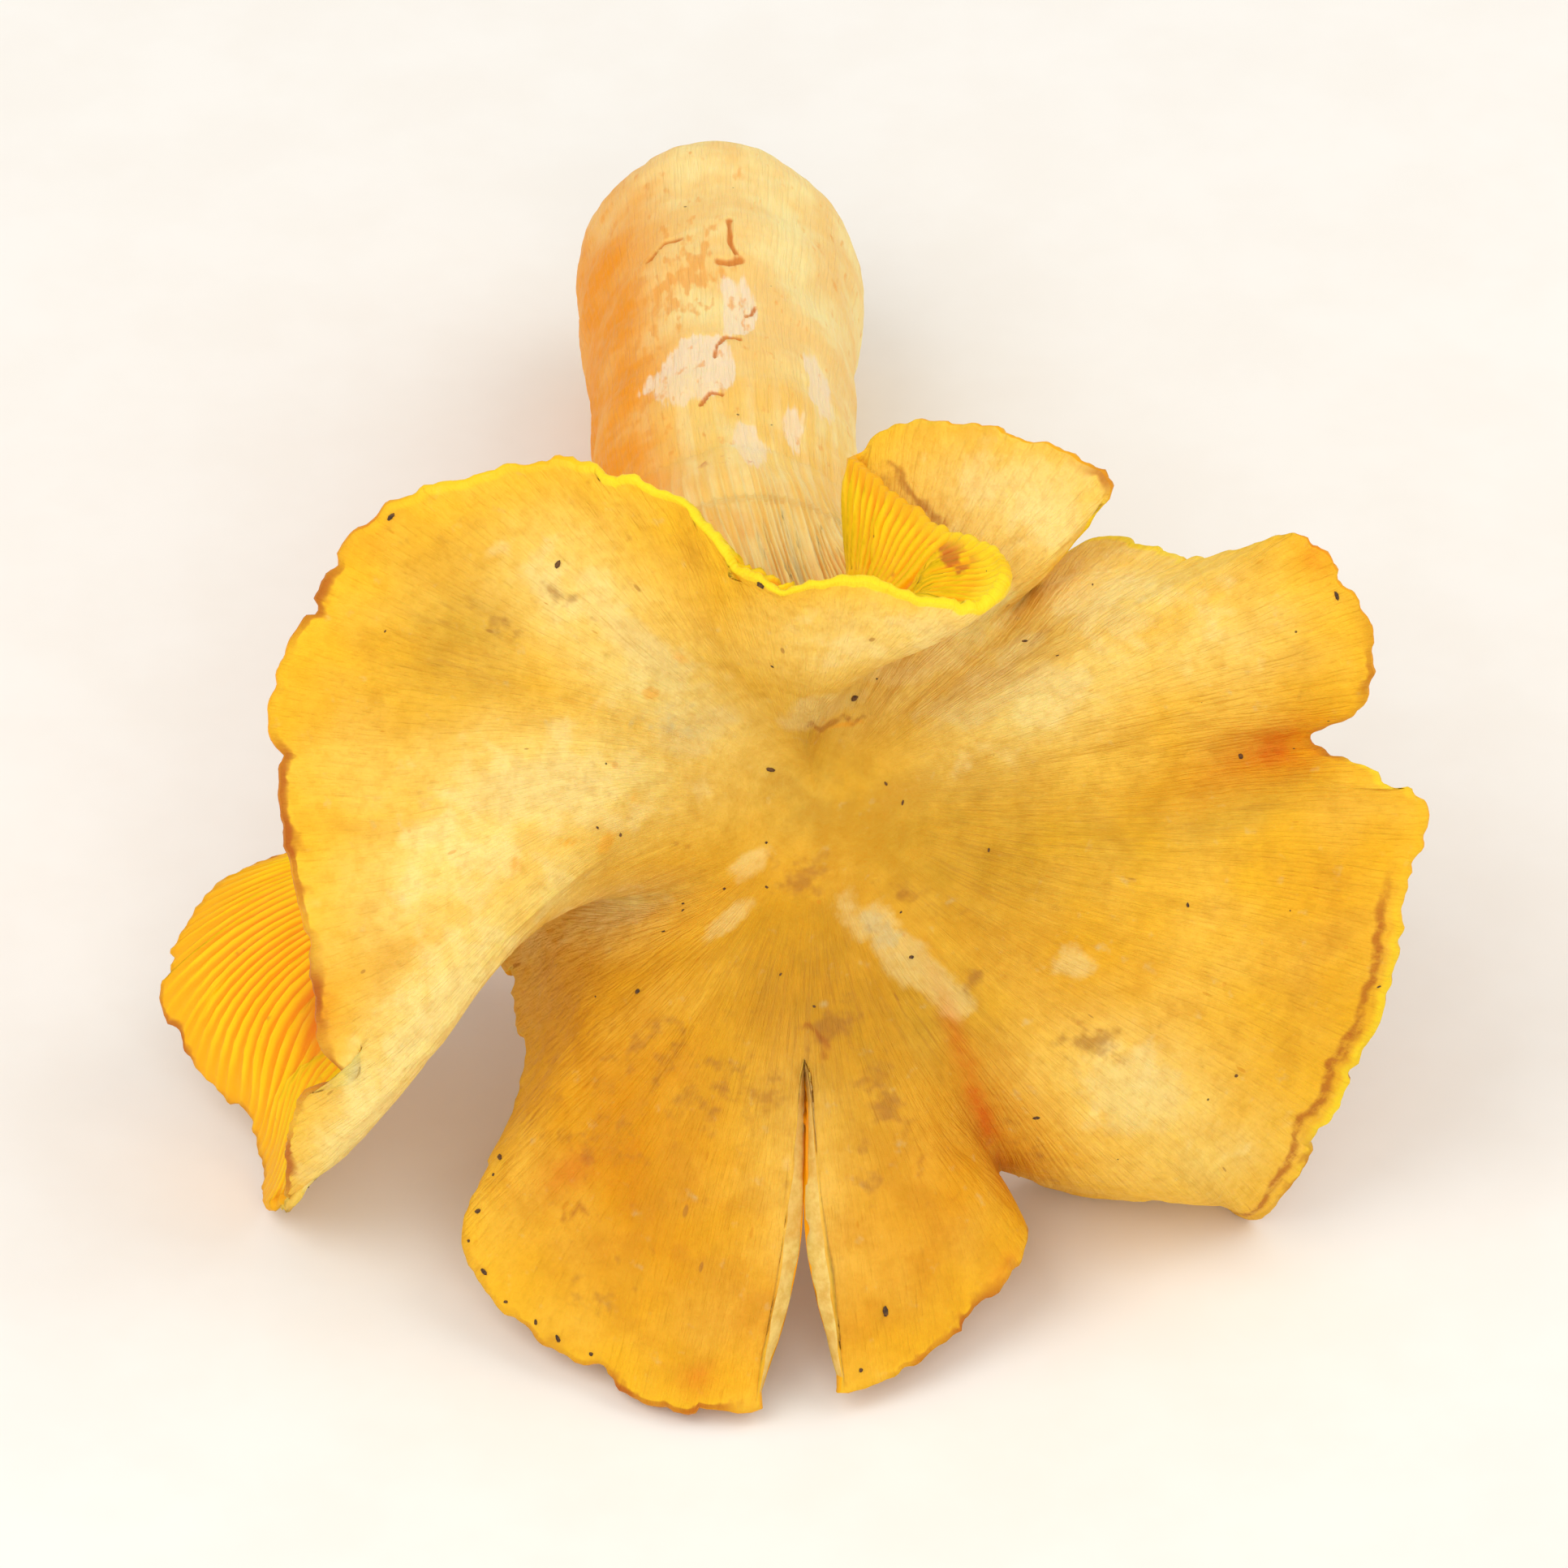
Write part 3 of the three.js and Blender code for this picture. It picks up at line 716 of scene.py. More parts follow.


# Broad tones of the upper skin: where it is scuffed pale or lifted by painted light, olive, deep
# orange or bruised, and where the rim has painted glow.
# Each spot has its place across and up the face, half its width and height, its turn in
# degrees and its strength.
toneSpots = dict(
    # mostly scuffed skin, but the pale spots at (8, 9.8) and (-12, -6.5) are painted light that
    # lifts valleys lying in shade
    pale=[(-13, 11, 5, 3, -40, 0.9), (-9, 6.5, 6, 2.6, -35, 1), (-14, 1, 8, 3.2, 5, 1),
          (-20, -3, 7, 3.4, 35, 0.9), (-21, -12, 8, 3.2, 52, 1.1), (-25, -18, 7, 3, 60, 1.1),
          (-12, -6.5, 3.4, 1.6, 20, 0.9), (-15, -5, 3, 2, 40, 0.8), (3, 9, 6, 2.4, 10, 0.8),
          (8, 9.8, 6, 2.6, 35, 1), (13, 6, 6, 2.4, 25, 1), (16.5, 12, 6, 3, 20, 0.9),
          (22, 9, 5, 2.4, 15, 0.6), (18, -16.5, 5, 3, -20, 0.7), (22, -20, 5, 2, 10, 0.5),
          (13, 17, 6, 4, 0, 1), (11, 8, 3, 1.6, 40, 0.9), (-0.8, -22, 2, 6, 3, 0.3)],
    ovals=[(-6.8, 4, 2.9, 1.5, 10, 0.9), (-3.8, -3.6, 1.5, 0.7, 35, 1),
           (-4.8, -6.7, 1.8, 0.6, 38, 1), (5.2, -9, 4.6, 1.2, -43, 1), (3.4, -7, 1.6, 1.3, 0, 1),
           (0, 5.1, 2.8, 0.9, 15, 0.8), (9.3, 5.8, 4.2, 1.6, 20, 0.9),
           (17.4, 10, 1.8, 1.1, 20, 0.8), (14.7, -9.1, 1.6, 1.2, 30, 0.8),
           (18.2, -16.5, 4, 2.4, -20, 0.8),
           (-16.5, 0.5, 5, 1.6, 10, 0.8), (-9.5, 8.4, 3, 1.1, -50, 0.8), (-15, 12, 2, 1, -50, 0.7),
           (-21.5, -12, 5, 1, 55, 0.8), (-12, -6.7, 2.4, 0.9, 20, 0.7),
           (-25.5, -19, 4, 0.9, 62, 0.7)],
    cores=[(3.7, -7.5, 1.1, 0.7, -50, 1), (-7.8, 4.1, 1.6, 0.9, 10, 0.6),
           (16.8, -8.6, 1.2, 0.4, -20, 0.5)],
    olive=[(0, 0, 6, 4.4, 0, 1), (6, -2, 8, 4, -15, 1), (14, -2, 8, 2.6, 5, 0.6),
           (-20, 9, 4, 3.4, 60, 0.75), (-1, -8, 5, 5, 0, 0.8), (24, -0.5, 6, 1.2, 22, 0.6),
           (6, -12, 3, 4, 30, 0.8), (-9, -9, 5, 3, 30, 0.4), (1, -13, 5, 6, 0, 0.8)],
    deep=[(-10, -20, 6, 10, 0, 1), (6, -22, 6, 10, 0, 0.9), (0, -29, 12, 5, 0, 0.8),
          (9, -17, 3, 6, 30, 1), (25, 2, 6, 1.6, 20, 0.8), (24, -16, 7, 6, 0, 0.2),
          (14, -20, 8, 3, 0, 0.15), (-24, -11, 3, 4, 0, 0.4), (30, -8, 4, 8, 0, 0.4),
          (12, -8, 10, 4, -30, 0.5), (0.5, -12, 6, 7, 0, 1), (-11, -18, 4, 6, 0, 1)],
    bruise=[(-17.4, 9.8, 1, 0.8, 0, 0.9), (-0.9, -4.4, 1.3, 1.1, 0, 1),
            (5.3, -5.3, 1.2, 0.6, -20, 0.9), (8.9, -10.2, 0.7, 0.7, 0, 0.9),
            (15.8, -13.6, 1.7, 0.8, 10, 0.9), (-14.7, 11.6, 1, 0.7, -40, 0.7),
            (-12, -19, 3, 2, 40, 0.55), (-9, -14, 3, 2, 0, 0.5), (4, -17, 1.2, 3, 20, 0.7),
            (-22, 16, 2, 1.4, 0, 0.4), (1.2, -12.6, 1.6, 1, 30, 1), (-5, -16, 4, 3, 0, 0.45),
            (7.8, 13.8, 1.1, 0.65, -20, 1.15), (-12, -28, 2, 1, 20, 0.6), (3, -21, 1, 2, 30, 0.6),
            (12.5, -20, 2, 1, -20, 0.5)],
    flushed=[(26.7, 3.1, 2.6, 1, 15, 1), (-28.3, -12, 1, 1.8, -10, 1), (-25, 15.5, 2, 0.8, 50, 0.7),
             (9, -16.6, 0.5, 4.6, 19, 0.95), (-6.5, -32.8, 1, 0.8, 0, 0.8),
             (-14, -21, 1.6, 0.8, 30, 0.45), (28, 13.6, 1.4, 0.8, -60, 0.8),
             (11, -26.5, 1.2, 0.6, 50, 0.8)],
    flecks=[(-9.3, 6, 0.6, 0.5, 0, 1), (-11.8, -2.4, 0.5, 0.9, -30, 1),
            (-14, -2.4, 0.7, 0.4, 0, 0.9), (-16.9, -3.6, 0.5, 0.7, 0, 0.9),
            (-10.2, 0, 0.4, 0.6, 0, 0.8),
            (-7.6, 8, 0.8, 0.4, -30, 0.8), (1.8, 4.3, 1.5, 0.25, 10, 0.9),
            (-22.5, -8, 0.6, 0.4, 0, 0.7), (-2, -9, 0.6, 0.4, 0, 0.7)],
    browned=[(-29, -4, 3, 8, 0, 1), (-28, -13, 3, 5, 0, 1), (-28, -20, 4, 5, 0, 0.8),
             (-20, -27, 6, 5, 0, 1), (-9, -34, 6, 3, 0, 0.9), (9, -30, 4, 4, 0, 0.9),
             (12, -25, 3, 3, 0, 0.8), (31, -14, 4, 6, 0, 1), (28, -21, 4, 4, 0, 0.9),
             (-28, 13, 4, 4, 0, 0.8), (17, 18, 4, 3, 0, 0.9), (29, 3, 3, 2, 0, 0.9),
             (-36, -14, 4, 9, 0, 0.8), (32, 6, 3, 6, 0, 0.6)],
    lined=[(32.5, -10, 2, 5, 0, 0.8), (30, -17, 2.5, 5, -20, 1), (27, -22.5, 3, 3, 0, 1)],
    # painted glow: spots where the rim is made brighter yellow, as if lit through its thin edge
    glowingRim=[(-7, 17, 6, 4, -30, 1), (2, 12, 6, 2, 0, 1), (8, 11, 3, 3, 0, 1),
            (15, 15, 8, 2, 0, 0.8), (-20, 19, 8, 3, 20, 0.5), (32, 2, 3, 2, 0, 0.6),
            (31, -15, 4, 8, 0, 0.9)],
)


# Thin cracks and folds: strength, width, then points across and up the face.
crackLines = [
    (0.9, 0.2, [(-1.1, 3.9), (1.1, 4.4), (3.3, 4.8)]),
    (0.5, 0.2, [(11.6, 7.6), (12.5, 9.1), (13.7, 10)]),
    (0.6, 0.26, [(14, -12.2), (15.6, -12.9), (16.9, -13.6)]),
    (0.6, 0.22, [(15.6, -14.7), (16.7, -14.2), (17.8, -14.7)]),
    (1, 0.22, [(-0.5, -12.6), (0.3, -13.5), (1, -14.7)]), (0.6, 0.2, [(-8.5, -2.8), (-7.1, -2.4)]),
    (0.45, 0.2, [(-26.7, 7.1), (-26.5, 4.7)]), (0.45, 0.2, [(-20, -4.9), (-19.6, -3.1)]),
    (0.8, 0.26, [(-14.7, -23.8), (-13.6, -23.3), (-12.5, -23.1)]),
    (0.5, 0.2, [(-9.8, -25.8), (-8.5, -24.9)]), (0.6, 0.22, [(4, -19.8), (4.5, -20.9)]),
    (0.6, 0.22, [(5.8, -19.6), (6, -21.5)]), (0.5, 0.2, [(10.5, -9.8), (11.8, -11)]),
    (0.5, 0.2, [(7.3, -22.5), (8.6, -22)]),
    (0.9, 0.28, [(3.9, 19.9), (4.7, 18.6), (5.6, 17.2), (6.8, 16), (8, 15.2)]),
]


def crackMask(place):
    total = np.zeros(len(place))
    across = place[:, 0] + 0.16 * np.sin(2.9 * place[:, 1]) + 0.08 * np.sin(7.3 * place[:, 1])
    upward = place[:, 1] + 0.16 * np.sin(3.4 * place[:, 0]) + 0.08 * np.sin(6.7 * place[:, 0])
    for strength, wide, line in crackLines:
        for step, ((x0, y0), (x1, y1)) in enumerate(zip(line[:-1], line[1:])):
            k, away = alongStep(across - x0, upward - y0, x1 - x0, y1 - y0)
            along = (step + k) / (len(line) - 1)
            thin = 0.35 + 0.65 * np.sqrt(4 * along * (1 - along))
            total = np.maximum(total, strength * thin * np.exp(-(away / (wide * thin)) ** 2))
    return total


def toneMasks(place):
    masks = dict(cracks=crackMask(place))
    for tone, spots in toneSpots.items():
        total = np.zeros(len(place))
        for across, up, wide, tall, turn, strength in spots:
            t = math.radians(turn)
            x, y = place[:, 0] - across, place[:, 1] - up
            d = ((x * math.cos(t) + y * math.sin(t)) / wide) ** 2
            d = d + ((y * math.cos(t) - x * math.sin(t)) / tall) ** 2
            total = np.maximum(total, strength * np.exp(-d * 0.7))
        masks[tone] = total
    return masks


def capPiece():
    c = capNet()
    net, strides = c["net"], c["strides"]
    topPole = net[0].mean(0)
    endPole = stemLine(np.array(stemShape["join"] + detail["tailLength"] - 0.01))
    picks = [slice(None, None, int(s)) for s in strides]
    points = np.concatenate([net[k, p] for k, p in enumerate(picks)] + [[topPole], [endPole]])
    counts = [len(net[k, p]) for k, p in enumerate(picks)]
    faces = ringFaces(counts)

    def picked(table, poles):
        table = np.broadcast_to(table, net.shape[:2] + np.shape(table)[2:])
        return np.concatenate([table[k, p] for k, p in enumerate(picks)] + [poles])

    onCap = np.zeros((c["firstTail"], net.shape[1]))
    values = dict(
        reach=picked(c["reach"], [0, 0]),
        ridge=picked(c["ridges"], [0, 0]),
        wall=picked(c["walls"].astype(float), [0, 0]),
        downStem=picked(c["down"], [0, 1]),
        along=picked(c["along"], [0, 0.56]),
        glowSide=picked(c["glowSide"], [0, 0]),
        peeled=picked(np.concatenate([onCap, c["peeled"]]), [0, 0]),
    )
    kindOf = np.repeat(c["kinds"], counts)
    kindOf = np.append(kindOf, [0, 3])
    wallOf = values["wall"]
    faceKind = np.array([0 if min(kindOf[i] for i in p) == 0 else 1 for p in faces])
    faceWall = np.array([min(wallOf[i] for i in p[:4]) for p in faces]) > 0.5
    faceKind = np.where(faceWall, 2, faceKind)
    vectors = dict(
        fibrePlace=picked(c["fibre"], [[0, 0, 0], [0, 0, 0]]),
        facePlace=picked(net, [topPole, endPole]),
    )
    values.update(toneMasks(vectors["facePlace"]))
    print("cap:", len(points), "points,", sum(len(p) - 2 for p in faces), "triangles")
    return points, faces, values, vectors, faceKind, (net, c["kinds"])


def stemPiece():
    f = stemForm
    angles = np.arange(f["columns"]) * 360 / f["columns"]
    first, shoulder = f["firstShare"], stemShape["shoulder"]
    shares = np.linspace(first, shoulder, f["rings"])
    risen = softStep((shares - first) / f["rise"])
    rings = [stemPoint(angles, np.full_like(angles, first), shrink=k) for k in (0.4, 0.8)]
    rings += [stemPoint(angles, np.full_like(angles, s), grow=-0.5 * (1 - r))
              for s, r in zip(shares, risen)]
    depth = stemRadius(shoulder) * stemShape["endDepth"]
    direction = stemAlong(shoulder)
    endTurns = np.radians(np.linspace(0, 90, 34)[1:-1])
    for turn in endTurns:
        ring = stemPoint(angles, np.full_like(angles, shoulder),
                         shrink=math.cos(turn) ** stemShape["endSquareness"])
        rings.append(ring + direction * depth * math.sin(turn))
    net = np.stack(rings)
    normals = netNormals(net)
    outward = net[60] - net[60].mean(0)
    normals *= np.sign((normals[60] * outward).sum(-1).mean())
    turn = np.radians(angles)[None, :]
    endShares = shoulder + depth / f["length"] * np.sin(endTurns)
    along = np.concatenate([[first, first], shares, endShares])[:, None] + 0 * turn
    relief, fibre, peeled, scar = stemRelief(net, along, turn)
    relief[:2] = 0
    net = net + normals * relief[..., None]
    start, tip = net[0].mean(0), net[-1].mean(0) + 0.02 * direction
    points = np.concatenate([net.reshape(-1, 3), [start], [tip]])
    faces = ringFaces([f["columns"]] * len(net))
    values = dict(
        freckled=np.append(stemSpots(along, turn, f["freckled"]).ravel(), [0, 0]),
        along=np.append(along.ravel(), [first, 1]),
        peeled=np.append(peeled.ravel(), [0, 0]),
        scar=np.append(scar.ravel(), [0, 0]),
        glowSide=np.append(glowSide(turn + 0 * along).ravel(), [0, 0]),
    )
    vectors = dict(
        fibrePlace=np.concatenate([fibre.reshape(-1, 3), [[0, 0, 0], [0, 0, f["length"]]]]),
        facePlace=points.copy(),
    )
    print("stem:", len(points), "points")
    return points, faces, values, vectors


crumbForm = dict(
    seed=8, scattered=24, size=(0.05, 0.11), long=(1, 2.6),
    ringTurns=[-70, -25, 25, 70], columns=7,
    # across and up the face, and size
    placed=[(24, 2.4, 0.19), (-2.5, 1.6, 0.15), (2.2, 5.8, 0.2), (-10, -10.8, 0.18),
            (4, -28.9, 0.18), (2.6, -32, 0.14), (-24.3, 16.1, 0.15), (24, -15.6, 0.12),
            (-14.6, 13.3, 0.17),
            (5.4, -9, 0.12), (12.5, -18, 0.12), (-11, -2, 0.1), (4.2, 1, 0.1), (-26, -25, 0.12),
            (-17.9, -20.2, 0.17), (-18.2, -21.3, 0.13), (-19.2, -23.3, 0.16), (-19.6, -27.1, 0.15),
            (-14.8, -31, 0.15), (8.2, 13.6, 0.13), (29.6, 12, 0.14), (-20.2, -25.3, 0.11),
            (-16.2, -29.9, 0.12), (-12.6, -32, 0.13), (-17.6, -28.6, 0.1), (-2.4, 13.2, 0.2)],
)


def crumbPiece(net, kinds):
    f = crumbForm
    rng = np.random.default_rng(f["seed"])
    top = net[kinds == 0][4:-1]
    normals = netNormals(net)[kinds == 0][4:-1]
    normals = normals * np.sign(normals[..., 2].mean())
    front = normals[..., 2] > 0.25
    spots = top[front]
    normals = normals[front]
    wanted = [(np.argmin(((spots[:, :2] - (x, y)) ** 2).sum(1)), size)
              for x, y, size in f["placed"]]
    for pick in rng.integers(0, len(spots), f["scattered"]):
        wanted.append((pick, rng.uniform(*f["size"])))
    points, faces = [], []
    ringTurns, columnCount = np.radians(f["ringTurns"]), f["columns"]
    oneCrumb = ringFaces([columnCount] * len(ringTurns))
    for at, size in wanted:
        normal = normals[at]
        side = unit(np.cross(normal, rng.normal(size=3)))
        other = np.cross(normal, side)
        stretch = rng.uniform(*f["long"])
        start = len(points)
        for ring in ringTurns:
            for k in range(columnCount):
                turn = 2 * math.pi * k / columnCount
                reach = size * rng.uniform(0.75, 1.15)
                flat = math.cos(ring) * reach
                points.append(spots[at] + side * flat * math.cos(turn) * stretch
                              + other * flat * math.sin(turn)
                              + normal * (0.55 * reach * math.sin(ring) + 0.1 * size))
        points.append(spots[at] - normal * 0.5 * size)
        points.append(spots[at] + normal * 0.65 * size)
        faces += [[start + k for k in reversed(face)] for face in oneCrumb]
    return np.array(points), faces


# Node helpers. They build in the tree that was opened last.
work = {}


def join(value, socket):
    if isinstance(value, bpy.types.NodeSocket):
        work["tree"].links.new(value, socket)
    else:
        socket.default_value = value


def put(kind, inputs, **settings):
    node = work["tree"].nodes.new("ShaderNode" + kind)
    for key, value in settings.items():
        setattr(node, key, value)
    for key, value in inputs.items():
        join(value, node.inputs[key])
    return node


def calc(operation, *values, clamp=False):
    return put("Math", dict(enumerate(values)), operation=operation, use_clamp=clamp).outputs[0]


def times(a, b, clamp=False):
    return calc("MULTIPLY", a, b, clamp=clamp)


# A value plus a share of a noise that runs from 0 to 1, centred on no change.
def shaken(value, lumps, share):
    return calc("MULTIPLY_ADD", calc("SUBTRACT", lumps, 0.5), share, value)


def eased(value, low, high, start=0.0, end=1.0):
    inputs = {0: value, 1: low, 2: high, 3: start, 4: end}
    return put("MapRange", inputs, interpolation_type="SMOOTHSTEP").outputs[0]


def tinted(share, under, over):
    return put("Mix", {0: share, 6: under, 7: over}, data_type="RGBA").outputs[2]


def reading(*names):
    read = []
    for name in names:
        outputs = put("Attribute", {}, attribute_name=name).outputs
        read.append(outputs["Vector" if name.endswith("Place") else "Fac"])
    return read if len(read) > 1 else read[0]


def scaled(vector, *amounts):
    return put("VectorMath", {0: vector, 1: amounts}, operation="MULTIPLY").outputs[0]


def speckled(place, size, detail=3.0, rough=0.5):
    scale = calc("DIVIDE", 1.0, size) if isinstance(size, bpy.types.NodeSocket) else 1 / size
    inputs = {"Vector": place, "Scale": scale, "Detail": detail, "Roughness": rough}
    return put("TexNoise", inputs).outputs["Fac"]


# A colour built up in coats, from a first one or from a share of one colour over another.
# Gives the list of coats so far and a function that lays another by its share.
def startCoats(look, first):
    colours = {key: colour(code) for key, code in look.items()}
    if isinstance(first, tuple):
        share, under, over = first
        first = tinted(share, colours[under], colours[over])
    coats = [first]

    def lay(share, top):
        coats.append(tinted(share, coats[-1], colours[top] if isinstance(top, str) else top))

    return coats, lay


def newGroup(name, inputs, outputs):
    tree = work["tree"] = bpy.data.node_groups.new(name, "ShaderNodeTree")
    for label, default in inputs.items():
        kind = "NodeSocketVector" if default is None else "NodeSocketFloat"
        socket = tree.interface.new_socket(label, in_out="INPUT", socket_type=kind)
        if default is not None:
            socket.default_value = default
    for label in outputs:
        kind = "NodeSocketColor" if label == "Color" else "NodeSocketFloat"
        tree.interface.new_socket(label, in_out="OUTPUT", socket_type=kind)
    start, end = tree.nodes.new("NodeGroupInput"), tree.nodes.new("NodeGroupOutput")
    return tree, start.outputs, end.inputs


def useGroup(group, **inputs):
    return put("Group", inputs, node_tree=group).outputs


# Long fibres: broad streaks and fine ones, both 0 to 1. Place is in millimetres with the
# fibres along its third axis.
def makeFibres():
    tree, given, out = newGroup("fibres", {"Place": None, "Spacing": 1.0, "Stretch": 0.1},
                                ["Streaks", "Fine"])
    parts = put("SeparateXYZ", {0: given["Place"]}).outputs
    stretched = times(parts[2], given["Stretch"])
    place = put("CombineXYZ", {0: parts[0], 1: parts[1], 2: stretched}).outputs[0]
    streaks = speckled(place, given["Spacing"], 1.0)
    join(eased(streaks, 0.32, 0.68), out["Streaks"])
    fine = speckled(place, times(given["Spacing"], 0.28), 2.0, 0.6)
    join(eased(fine, 0.3, 0.7), out["Fine"])
    return tree


# Ragged patches. Favour raises the chance of one, and Edge is how soft its border is.
def makePatches():
    tree, given, out = newGroup("patches", {"Place": None, "Size": 3.0, "Favour": 0.0,
                                            "Level": 0.6, "Edge": 0.03}, ["Mask"])
    lumps = speckled(given["Place"], given["Size"], 2.5, 0.55)
    total = calc("MULTIPLY_ADD", given["Favour"], 0.45, lumps)
    low, high = (calc(way, given["Level"], given["Edge"]) for way in ("SUBTRACT", "ADD"))
    join(eased(total, low, high), out["Mask"])
    return tree


# Small specks: Share of the places hold one, up to Size of the spacing wide.
def makeSpecks():
    tree, given, out = newGroup("specks", {"Place": None, "Spacing": 2.0, "Size": 0.1,
                                           "Share": 0.3}, ["Mask"])
    scale = calc("DIVIDE", 1.0, given["Spacing"])
    cells = put("TexVoronoi", {"Vector": given["Place"], "Scale": scale}).outputs
    parts = put("SeparateColor", {0: cells["Color"]}).outputs
    kept = calc("LESS_THAN", parts[0], given["Share"])
    size = times(calc("MULTIPLY_ADD", parts[1], 0.7, 0.3), given["Size"])
    join(times(eased(cells["Distance"], times(size, 0.6), size, 1.0, 0.0), kept), out["Mask"])
    return tree


# Shares of the margin's colours: Band browns the last Width of the reach, broken up by
# noise, Rim is the very edge and Near is a broad zone.
def makeMargin():
    tree, given, out = newGroup("margin", {"Place": None, "Reach": 0.0, "Width": 0.03},
                                ["Band", "Rim", "Near"])
    lumps, wide = speckled(given["Place"], 2.2, 3.0, 0.6), speckled(given["Place"], 6.0, 1.0)
    width = times(given["Width"], eased(lumps, 0.35, 0.75, 0.1, 1.6))
    band = eased(given["Reach"], calc("SUBTRACT", 1.0, width), 1.001)
    join(times(band, eased(wide, 0.38, 0.6, 0.25, 1.0)), out["Band"])
    join(eased(given["Reach"], 0.984, 0.998), out["Rim"])
    join(eased(given["Reach"], 0.86, 1.0), out["Near"])
    return tree


fibres, patches, specks, margin = makeFibres(), makePatches(), makeSpecks(), makeMargin()


def fibresAt(place, spacing, stretch):
    return useGroup(fibres, Place=place, Spacing=spacing, Stretch=stretch)


def patchesAt(place, size, favour, level, edge):
    return useGroup(patches, Place=place, Size=size, Favour=favour, Level=level, Edge=edge)["Mask"]


def specksAt(place, spacing, size, share):
    return useGroup(specks, Place=place, Spacing=spacing, Size=size, Share=share)["Mask"]


# orange is painted glow on the stem's left side
stemLook = dict(
    cream="FEE498", peach="F9CA76", orange="F5960C", gold="F9BC30", white="FBE3C2",
    fleck="EE9A34", scar="D67A24", speck="3B2A1A",
)


# The stem's colour, shared with the gills where they run down onto it. Its left side gets a painted
# glow of warm orange.
def makeStemTone():
    tree, given, out = newGroup("stemTone", {"Place": None, "Fibre": None, "Along": 0.6,
                                             "Left": 0.0, "Rubbed": 0.0}, ["Color"])
    cloud = speckled(given["Place"], 6.0, 3.0, 0.6)
    strands = fibresAt(given["Fibre"], 0.9, 0.07)
    coats, lay = startCoats(stemLook, (eased(cloud, 0.35, 0.65), "cream", "peach"))
    # painted glow: warm orange laid on the stem's left side
    paintedGlow = times(given["Left"], eased(given["Along"], 1.0, 0.8, 0.55, 1.3), clamp=True)
    paintedGlow = times(paintedGlow, eased(cloud, 0.25, 0.6, 0.65, 1.0))
    lay(times(eased(given["Along"], 0.72, 0.58, 0.0, 0.55),
              eased(strands["Streaks"], 0.2, 0.9, 1.0, 0.3)), "gold")
    lay(eased(strands["Fine"], 0.2, 1.0, 0.0, 0.3), "peach")
    lay(paintedGlow, "orange")
    worn = shaken(given["Rubbed"], strands["Fine"], 0.5)
    lay(times(eased(worn, 0.25, 0.95), eased(cloud, 0.3, 0.6, 0.42, 0.75)), "white")
    join(coats[-1], out["Color"])
    return tree


stemTone = makeStemTone()


def stemTint(place, fibre, left):
    return useGroup(stemTone, Place=place, Fibre=fibre, Along=reading("along"), Left=left,
                    Rubbed=reading("peeled"))["Color"]


# How deep light soaks into flesh, in metres, and its share for red, green and blue.
fleshLook = dict(depthScale=0.0011, depthRadius=(1.0, 0.5, 0.16))


def newMaterial(name):
    material = bpy.data.materials.new(name)
    material.use_nodes = True
    work["tree"] = material.node_tree
    return material, material.node_tree.nodes["Principled BSDF"].inputs


# What every flesh finish ends with: colour, roughness, a fine bump, soft depth and low gloss.
def setFlesh(shader, base, rough, height, finish):
    join(base, shader["Base Color"])
    join(rough, shader["Roughness"])
    setBump(shader, height, *finish["bump"])
    shader["Subsurface Weight"].default_value = finish["depth"]
    shader["Subsurface Scale"].default_value = fleshLook["depthScale"]
    shader["Subsurface Radius"].default_value = fleshLook["depthRadius"]
    shader["Specular IOR Level"].default_value = finish["gloss"]


def setBump(shader, height, strength, distance):
    bump = put("Bump", {"Height": height, "Strength": strength, "Distance": distance})
    join(bump.outputs[0], shader["Normal"])


skinFinish = dict(bump=(0.7, 0.00025), depth=0.28, gloss=0.14)  # bump is strength, metres
skinLook = dict(
    apricot="F6C244", golden="F5BB24", deepOrange="D68A02", olive="BE9122", cream="FBE092",
    oval="EED080", crack="A4561C", scuffAndLitWash="FBDF82", bruise="A2662A", stain="D2941E",
    deepStain="CE7E0C", streak="C88A18", margin="B46018", rimGlow="FFDC26", nearEdge="FCC41C",
    speck="3B2A1A", rust="DA7E1C", flush="D8620E", fleck="F7A41C", core="CDC294",
)


